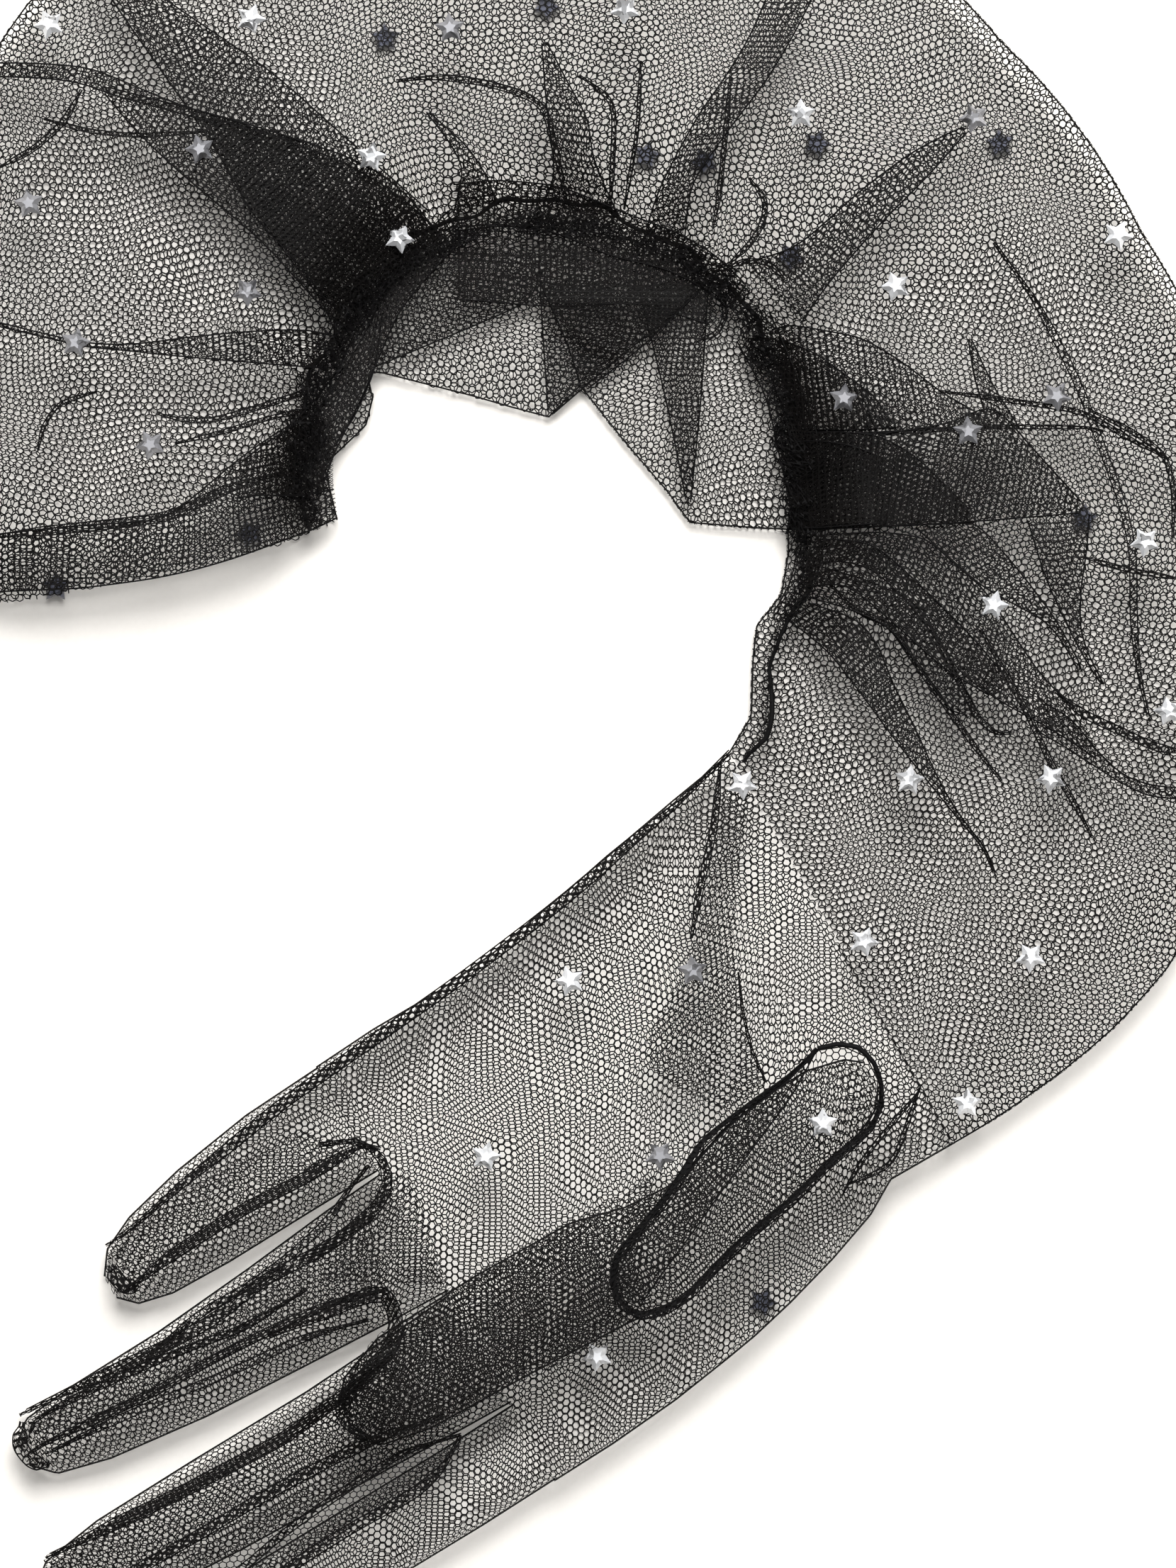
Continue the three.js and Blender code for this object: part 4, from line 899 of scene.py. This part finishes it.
def ruffle(centre, thick, gathered, depth, pitch, yarn, wave, seed):
    """A strip of net crowded along a line.

    u runs along the crowded cloth and v across it, and thick swells or thins it. Up and sideways the strip
    swings as two sines of u whose phases wander, so that it heaps up in small uneven curls."""
    steps = np.concatenate([[0], np.cumsum(np.linalg.norm(np.diff(centre, axis=0), axis=1))])
    length = steps[-1] * gathered
    ahead = np.gradient(centre, axis=0)
    aside = np.stack([ahead[:, 1], -ahead[:, 0]], 1) / np.hypot(ahead[:, 0], ahead[:, 1])[:, None]
    rng = np.random.default_rng(seed)
    knots = np.linspace(0, length, RUFFLE_KNOTS)
    wander = blurred(np.cumsum(rng.normal(0, PHASE_WANDER, RUFFLE_KNOTS)), PHASE_BLUR, 0)
    size = np.clip(1 + 0.8 * blurred(rng.normal(0, SIZE_SPREAD, RUFFLE_KNOTS), SIZE_BLUR, 0), *SIZE_LIMITS)

    def inside(u, v):
        """The strip's depth swells with its curls."""
        swell = np.interp(u / gathered, steps, thick)
        deep = depth * swell * (0.75 + 0.35 * np.interp(u, knots, size))
        return (u >= 0) & (u <= length) & (v >= 0) & (v <= deep)

    def place(u, v):
        """The line's place, moved aside by the phase's sine, back by its cosine and up by a slower sine."""
        at = u / gathered
        angle = 2 * np.pi * u / wave + np.interp(u, knots, wander)
        swell = np.interp(at, steps, thick)
        tall = np.interp(u, knots, size) * swell
        middle = np.stack([np.interp(at, steps, centre[:, c]) for c in range(3)], 1)
        side = np.stack([np.interp(at, steps, aside[:, c]) for c in range(2)], 1)
        across = (v - depth * swell / 2) * CURL_ACROSS + CURL_ASIDE * tall * np.sin(angle + 0.35 * v)
        back = CURL_ASIDE * tall * np.cos(angle + 0.55 * v)
        along = np.stack([side[:, 1], -side[:, 0]], 1)
        flat = middle[:, :2] + across[:, None] * side - back[:, None] * along
        up = middle[:, 2] + CURL_UP * tall * np.sin(angle * 0.5 + 0.4 * v) + 0.5 * np.cos(v)
        return np.concatenate([flat, np.maximum(up, 0.3)[:, None]], 1)

    deepest = 1.8 * depth
    return net(length, deepest, pitch, yarn, inside, place)


# Shaders

class Value:
    """A socket of a shader tree, on which + and * add Math nodes."""

    def __init__(self, tree, socket):
        self.tree = tree
        self.socket = socket

    def math(self, operation, other):
        """A Math node that takes this value and another value or number."""
        node = self.tree.nodes.new("ShaderNodeMath")
        node.operation = operation
        for value, place in zip((self, other), node.inputs):
            if isinstance(value, Value):
                self.tree.links.new(value.socket, place)
            else:
                place.default_value = value
        return Value(self.tree, node.outputs[0])

    def __add__(self, other):
        return self.math("ADD", other)

    def __mul__(self, other):
        return self.math("MULTIPLY", other)

    __radd__ = __add__
    __rmul__ = __mul__


class Finish:
    """A material and the one way in which its nodes are made."""

    def __init__(self, name):
        self.material = bpy.data.materials.new(name)
        self.material.use_nodes = True
        self.tree = self.material.node_tree
        self.surface = self.tree.nodes["Principled BSDF"]

    def node(self, kind, settings=None, output=0, **inputs):
        """A node of a type, its settings first, then the values or links of its sockets."""
        made = self.tree.nodes.new(kind)
        for name, value in (settings or {}).items():
            if name == "ramp":
                while len(made.color_ramp.elements) < len(value):
                    made.color_ramp.elements.new(0.5)
                for stop, (place, colour) in zip(made.color_ramp.elements, value):
                    stop.position, stop.color = place, colour
            else:
                setattr(made, name, value)
        for name, value in inputs.items():
            self.feed(made.inputs[name.replace("_", " ")], value)
        return Value(self.tree, made.outputs[output])

    def feed(self, socket, value):
        """Links a value to a socket, or sets the socket to a number or colour."""
        if isinstance(value, Value):
            self.tree.links.new(value.socket, socket)
        else:
            socket.default_value = value

    def set(self, **inputs):
        """Feeds the sockets of the surface's shader."""
        for name, value in inputs.items():
            self.feed(self.surface.inputs[name.replace("_", " ")], value)


OBJECT_PLACE = 3        # the output of Texture Coordinate that gives the place on the piece


def shades(colour, *factors):
    """The stops of a ramp: at each place the colour times its factors for red, green and blue."""
    return [(place, (*(part * factor for part, factor in zip(colour, by)), 1)) for place, by in factors]


def yarn_finish(name, colour, roughness):
    """Black yarn: its colour and roughness vary a little from place to place."""
    finish = Finish(name)
    place = finish.node("ShaderNodeTexCoord", output=OBJECT_PLACE)
    patches = finish.node("ShaderNodeTexNoise", Vector=place, Scale=90.0, Detail=3.0)
    fine = finish.node("ShaderNodeTexNoise", Vector=place, Scale=2600.0, Detail=2.0)
    ramp = shades(colour, (0.3, (0.55, 0.55, 0.55)), (0.72, (1.7, 1.6, 1.55)))
    tint = finish.node("ShaderNodeValToRGB", {"ramp": ramp}, Fac=0.6 * patches + 0.4 * fine)
    finish.set(Base_Color=tint, Roughness=roughness + 0.25 * fine, Specular_IOR_Level=0.12)
    return finish.material


def crystal_painted_glints(name, colour, metallic, roughness):
    """Cut stone on foil under a thin clear coat, with painted glints and reflections: patches about as large
    as its facets are painted lighter or darker.
    """
    finish = Finish(name)
    place = finish.node("ShaderNodeTexCoord", output=OBJECT_PLACE)
    # Painted glints and reflections: each patch about a facet's size gets its own lighter or darker tone
    patches = finish.node("ShaderNodeTexVoronoi", output=1, Vector=place, Scale=780.0)
    ramp = shades(colour, (0.18, (0.3, 0.3, 0.3)), (0.28, (0.65, 0.65, 0.65)), (0.4, (1, 1, 1)))
    tint = finish.node("ShaderNodeValToRGB", {"ramp": ramp}, Fac=patches)
    finish.set(Base_Color=tint, Metallic=metallic, Roughness=roughness + 0.08 * patches,
               Coat_Weight=0.6, Coat_Roughness=0.03)
    return finish.material


def floor_finish():
    """A pale matt ground with a faint fine grain."""
    finish = Finish("pale_floor")
    place = finish.node("ShaderNodeTexCoord", output=OBJECT_PLACE)
    grain = finish.node("ShaderNodeTexNoise", Vector=place, Scale=900.0, Detail=2.0)
    ramp = [(0.2, (0.92, 0.885, 0.835, 1)), (0.8, (0.95, 0.915, 0.865, 1))]
    tint = finish.node("ShaderNodeValToRGB", {"ramp": ramp}, Fac=grain)
    finish.set(Base_Color=tint, Roughness=0.9, Specular_IOR_Level=0.1)
    return finish.material


def tulle(context):
    """The net's material, made at its first use."""
    found = bpy.data.materials.get("black_tulle")
    return found or yarn_finish("black_tulle", context.scene.glove_net.colour, 0.45)


def thread(context):
    """The material of seams, creases and elastic, made at its first use."""
    found = bpy.data.materials.get("black_thread")
    return found or yarn_finish("black_thread", context.scene.glove_seams.colour, 0.55)


def net_measures(context):
    """The net's pitch and yarn in millimetres."""
    made = context.scene.glove_net
    return made.pitch / MM, made.yarn / MM


# Operators

# The view, in millimetres: its middle on the table, the height that it takes in and the height of the glove's
# own middle. Then the camera's distance, sensor and reach, the floor's half side and the light from all round
VIEW_CENTRE = (34.7, 55.8)
VIEW_HEIGHT = 287.6
GLOVE_MIDDLE = 7.0
CAMERA_DISTANCE = 1600.0
SENSOR = 36.0
FAR_CLIP = 20000.0
FLOOR_HALF = 3000.0
WORLD_LIGHT = 0.2
# The lamps: name, place and size in metres, and power in watts
LAMPS = (("key", (0.66, 0.92, 1.85), 1.0, 62), ("top", (0.3, 0.1, 2.2), 1.6, 5))


def aim_angles(direction):
    """The rotation that points a lamp along a direction: tilt from straight down, then turn."""
    x, y, z = direction / np.linalg.norm(direction)
    return (math.acos(-z), 0, math.atan2(-x, y))


class GLOVE_OT_stage(bpy.types.Operator):
    """Camera, floor and soft light"""
    bl_idname = "glove.stage"
    bl_label = "Stage"

    def execute(self, context):
        centre = np.array([*VIEW_CENTRE, 0]) * MM
        camera = bpy.data.cameras.new("camera")
        camera.sensor_fit = "VERTICAL"
        camera.sensor_height = SENSOR
        camera.lens = SENSOR * (CAMERA_DISTANCE - GLOVE_MIDDLE) / VIEW_HEIGHT
        camera.clip_end = FAR_CLIP * MM
        holder = bpy.data.objects.new("camera", camera)
        holder.location = (centre[0], centre[1], CAMERA_DISTANCE * MM)
        holder.rotation_euler = (0, 0, -VIEW_TURN)
        context.collection.objects.link(holder)
        context.scene.camera = holder

        half = FLOOR_HALF * MM
        corners = [(-half, -half, 0), (half, -half, 0), (half, half, 0), (-half, half, 0)]
        mesh = bpy.data.meshes.new("floor")
        mesh.from_pydata(corners, [], [(0, 1, 2, 3)])
        mesh.materials.append(floor_finish())
        floor = bpy.data.objects.new("floor", mesh)
        context.collection.objects.link(floor)

        world = bpy.data.worlds.new("world")
        world.use_nodes = True
        background = world.node_tree.nodes["Background"]
        background.inputs["Color"].default_value = (1, 1, 1, 1)
        background.inputs["Strength"].default_value = WORLD_LIGHT
        context.scene.world = world
        context.scene.view_settings.view_transform = "Standard"
        for name, place, size, power in LAMPS:
            light = bpy.data.lights.new(name, "AREA")
            light.size = size
            light.energy = power
            lamp = bpy.data.objects.new(name, light)
            lamp.location = place
            lamp.rotation_euler = aim_angles(centre - place)
            context.collection.objects.link(lamp)
        return {"FINISHED"}


# The two sides' names, whether they lie above, and their seeds. Then the part of a side's length at which its
# net is cut in two, and the steps and radius of the thread along its edges
SIDES = (("sleeve_front", True, 3), ("sleeve_back", False, 8))
CUT_SHARE = 0.55
EDGE_STEPS, EDGE_RADIUS = 300, 0.15
HAND_EDGE_RADIUS = 0.17
THREAD_SIDES = 4


class GLOVE_OT_sleeve(bpy.types.Operator):
    """Both sides of the sleeve, gathered by the elastic"""
    bl_idname = "glove.sleeve"
    bl_label = "Sleeve"

    def execute(self, context):
        for node, upper, seed in SIDES:
            side = Sleeve(upper, seed)
            mesh = net(*side.size, *net_measures(context), side.inside, side.place, turned=not upper)
            for part, half in enumerate(halves(mesh, side.size[0] * CUT_SHARE)):
                piece = make_piece(f"{node}_net_{part + 1}", *half)
                finish_piece(piece, tulle(context), [node])
        turns = np.linspace(START_TURN, END_TURN, EDGE_STEPS)
        full = np.ones(EDGE_STEPS)
        slant = CUFF_SLANT * np.clip((turns - CUFF_START) / (END_TURN - CUFF_START), 0, 1)
        edges = [sleeve_point(turns - slant, full, RIM_HEIGHT * full),
                 sleeve_point(turns, -full, FRILL_EDGE_HEIGHT * full)]
        mesh = joined([cord(edge, EDGE_RADIUS, THREAD_SIDES) for edge in edges])
        finish_piece(make_piece("sleeve_edges", *mesh), thread(context))
        return {"FINISHED"}


def hand_lift(x, y, z):
    """The underside of the hand near its lower edge rises over the stone there."""
    inwards = y - table_at(HAND, 2, x)
    share = table_at(HAND, 3, x) * np.clip((HAND_LIFT_REACH - inwards) / HAND_LIFT_FADE, 0, 1)
    return np.maximum(z, share * STONE_LIFT)


def open_under_thumb(tube):
    """A test for the hand's cloth that leaves its upper side open inside the thumb's oval."""
    oval = on_view(THUMB_OVAL)

    def inside(u, v):
        """Inside the tube, and not on the upper side within the oval."""
        points = tube.place(u.ravel(), v.ravel()).reshape(*u.shape, 3)
        through = inside_outline(points[..., 0], points[..., 1], oval) & (points[..., 2] > HAND_HEIGHT / 2)
        return tube.inside(u, v) & ~through

    return inside


class GLOVE_OT_hand(bpy.types.Operator):
    """The palm, the fingers and the thumb"""
    bl_idname = "glove.hand"
    bl_label = "Hand"

    def execute(self, context):
        tubes = {"hand": Tube(HAND_ROWS, HAND_SHAPE, lifted=hand_lift),
                 "thumb": Tube(THUMB, THUMB_SHAPE, foot=THUMB_FOOT)}
        tubes.update({name: Tube(rows, FINGER_SHAPE) for name, rows in FINGERS.items()})
        for name, tube in tubes.items():
            inside = open_under_thumb(tube) if name == "hand" else tube.inside
            mesh = net(tube.length, tube.round.max(), *net_measures(context), inside, tube.place)
            finish_piece(make_piece(f"{name}_net", *mesh), tulle(context), [name])
        mesh = joined([cord(side, HAND_EDGE_RADIUS, THREAD_SIDES)
                       for tube in tubes.values() for side in tube.sides()])
        finish_piece(make_piece("hand_edges", *mesh), thread(context))
        return {"FINISHED"}


# The elastic: its steps, how far its ends stay off the sleeve's, its height, and the sine waves in it, each
# with its rate by the turn, its start and its part
RUCHING_STEPS, RUCHING_INSET, RUCHING_HEIGHT = 700, 1.2, 8.0
RUCHING_WAVES = ((0.29, 0, 0.6), (0.53, 1, 0.4))
# How far the waves move it outwards as a share, and up, and how far outwards thick cloth pushes it
WAVE_SHARE, WAVE_HEIGHT, THICK_SHARE = 0.012, 0.3, 0.02
# The elastic's cord: its depth under that line, its radius and how much the waves swell it
ELASTIC_DEPTH, ELASTIC_RADIUS, ELASTIC_SWELL = 1.4, 0.4, 0.1
# How thick the cloth heaps up along the elastic, and how far inwards it lies as a share, by the turn
RUCHING_THICKNESS = np.array([
    (-90, 0.35), (-62, 0.45), (-40, 1.25), (0, 1.15), (30, 0.8), (60, 0.95), (85, 0.8), (105, 1.0),
    (130, 1.1), (150, 1.1), (170, 0.9),
])
RUCHING_INWARDS = np.array([(30, 0), (55, -0.07), (110, -0.07), (130, 0)])
# The scrunched strips of cloth over the elastic: height over it, how far drawn together, depth, wave and seed
RUCHES = ((0.6, 2.9, 2.9, 4.6, 1), (-0.4, 3.0, 3.9, 6.3, 2), (-1.8, 2.5, 5.4, 8.9, 3))
# How far each next strip lies outwards where the cloth is thicker than this
STRIP_SHARE, STRIP_THICKNESS = 0.03, 0.6


class GLOVE_OT_ruching(bpy.types.Operator):
    """The elastic, with the cloth scrunched along it"""
    bl_idname = "glove.ruching"
    bl_label = "Ruching"

    def execute(self, context):
        turn = np.linspace(START_TURN + RUCHING_INSET, END_TURN - RUCHING_INSET, RUCHING_STEPS)
        waves = sum(part * np.sin(turn * rate + start) for rate, start, part in RUCHING_WAVES)
        thick = table_at(RUCHING_THICKNESS, 1, turn)
        height = RUCHING_HEIGHT + WAVE_HEIGHT * waves
        line = sleeve_point(turn, WAVE_SHARE * waves + THICK_SHARE * thick, height - ELASTIC_DEPTH)
        parts = [cord(line, ELASTIC_RADIUS + ELASTIC_SWELL * waves)]
        for order, (up, gathered, depth, wave, seed) in enumerate(RUCHES):
            share = table_at(RUCHING_INWARDS, 1, turn) + WAVE_SHARE * waves
            share = share + STRIP_SHARE * (thick - STRIP_THICKNESS) * order
            course = sleeve_point(turn, share, height + up)
            parts.append(ruffle(course, thick, gathered, depth, *net_measures(context), wave, seed))
        finish_piece(make_piece("elastic", *joined(parts)), thread(context), ["ruching_elastic"])
        return {"FINISHED"}


class GLOVE_OT_folds(bpy.types.Operator):
    """The folds that lie over one another, and the narrow ones that read as lines"""
    bl_idname = "glove.folds"
    bl_label = "Folds"

    def execute(self, context):
        bands = [Band(on_view(left), on_view(right), layers, lift) for left, right, layers, lift in BANDS]
        lines = [line_band(on_view(course), width) for course, width in LINES]
        seams = [seam_band(on_view(course), width) for course, width in SEAMS]
        upper = [band for band in bands if band.points[:, :, 1].mean() > OVER_HAND]
        lower = [band for band in bands if band.points[:, :, 1].mean() <= OVER_HAND]
        for name, group in (("sleeve_folds", upper), ("lower_folds", lower), ("fold_lines", lines),
                            ("hand_seams", seams)):
            mesh = joined([band.net(*net_measures(context)) for band in group])
            finish_piece(make_piece(name, *mesh), tulle(context))
        radii = context.scene.glove_seams
        doubled = [band for band in bands if band.layers > 1]
        mesh = joined([crease for band in doubled for crease in band.creases(radii.fold / MM)]
                      + [crease for band in lines + seams for crease in band.creases(radii.line / MM)])
        finish_piece(make_piece("creases", *mesh), thread(context))
        return {"FINISHED"}


# The thumb's seam: the steps round its cord, the cord's height and the width of the cloth turned in
OVAL_STEPS, OVAL_HEIGHT, OVAL_WIDTH = 200, 13.3, 1.5


class GLOVE_OT_seams(bpy.types.Operator):
    """The oval seam of the thumb"""
    bl_idname = "glove.seams"
    bl_label = "Seams"

    def execute(self, context):
        radii = context.scene.glove_seams
        oval = even_path(on_view(THUMB_OVAL), OVAL_STEPS)
        foot = np.column_stack([oval, np.full(OVAL_STEPS, OVAL_HEIGHT)])
        turned_in = seam_band(on_view(THUMB_OVAL), OVAL_WIDTH)
        mesh = joined([cord(foot, radii.seam / MM), turned_in.net(*net_measures(context)),
                       *turned_in.creases(radii.line / MM)])
        finish_piece(make_piece("thumb_gusset_seam", *mesh), thread(context), ["thumb_seam"])
        return {"FINISHED"}


class GLOVE_OT_stones(bpy.types.Operator):
    """The finish of the star stones, which keep their cut shape: painted glints on their facets, and painted
    shade on the stones under the upper cloth
    """
    bl_idname = "glove.stones"
    bl_label = "Stones"

    def execute(self, context):
        stones = context.scene.glove_stones
        clear = crystal_painted_glints("clear_stone", stones.clear, 0.15, 0.06)
        back = crystal_painted_glints("stone_backing", stones.backing, 0.4, 0.25)
        # Painted shade: the stones under the upper cloth get a darker copy of the crystal
        veiled_shade = crystal_painted_glints("veiled_stone_painted_shade", stones.veiled_shade, 0.3, 0.2)
        shaded_stone_places = on_view(VEILED) * MM
        names = [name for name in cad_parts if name.startswith("star_")]
        if not names:
            raise RuntimeError("the frame has no star stones")
        for name in names:
            middle = np.mean(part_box(name), axis=0)[:2]
            near = np.hypot(*(shaded_stone_places - middle).T).min() < VEILED_REACH * MM
            finish = back if name.startswith("star_under") else veiled_shade if near else clear
            materials = bpy.data.objects[name].data.materials
            materials.clear()
            materials.append(finish)
        return {"FINISHED"}


class GLOVE_PT_panel(bpy.types.Panel):
    """The glove's measures and colours, and its pieces in the order in which they are made"""
    bl_idname = "GLOVE_PT_panel"
    bl_label = "Glove"
    bl_space_type = "VIEW_3D"
    bl_region_type = "UI"
    bl_category = "Glove"

    def draw(self, context):
        for name, group in GROUPS:
            for entry in group.__annotations__:
                self.layout.prop(getattr(context.scene, name), entry)
        for step in STEPS:
            self.layout.operator(step.bl_idname)


STEPS = (GLOVE_OT_stage, GLOVE_OT_sleeve, GLOVE_OT_hand, GLOVE_OT_folds, GLOVE_OT_ruching, GLOVE_OT_seams,
         GLOVE_OT_stones)
GROUPS = (("glove_net", GloveNet), ("glove_seams", GloveSeams), ("glove_stones", GloveStones))


def register():
    """Registers the groups of properties on the scene, then the operators and the panel."""
    for name, group in GROUPS:
        bpy.utils.register_class(group)
        setattr(bpy.types.Scene, name, bpy.props.PointerProperty(type=group))
    for cls in (*STEPS, GLOVE_PT_panel):
        bpy.utils.register_class(cls)


def unregister():
    """Takes back what register adds, in the reverse order."""
    for cls in (GLOVE_PT_panel, *reversed(STEPS)):
        bpy.utils.unregister_class(cls)
    for name, group in reversed(GROUPS):
        delattr(bpy.types.Scene, name)
        bpy.utils.unregister_class(group)


def main():
    """Makes the glove piece by piece."""
    register()
    for step in STEPS:
        area, operator = step.bl_idname.split(".")
        getattr(getattr(bpy.ops, area), operator)()


if __name__ == "__main__":
    main()
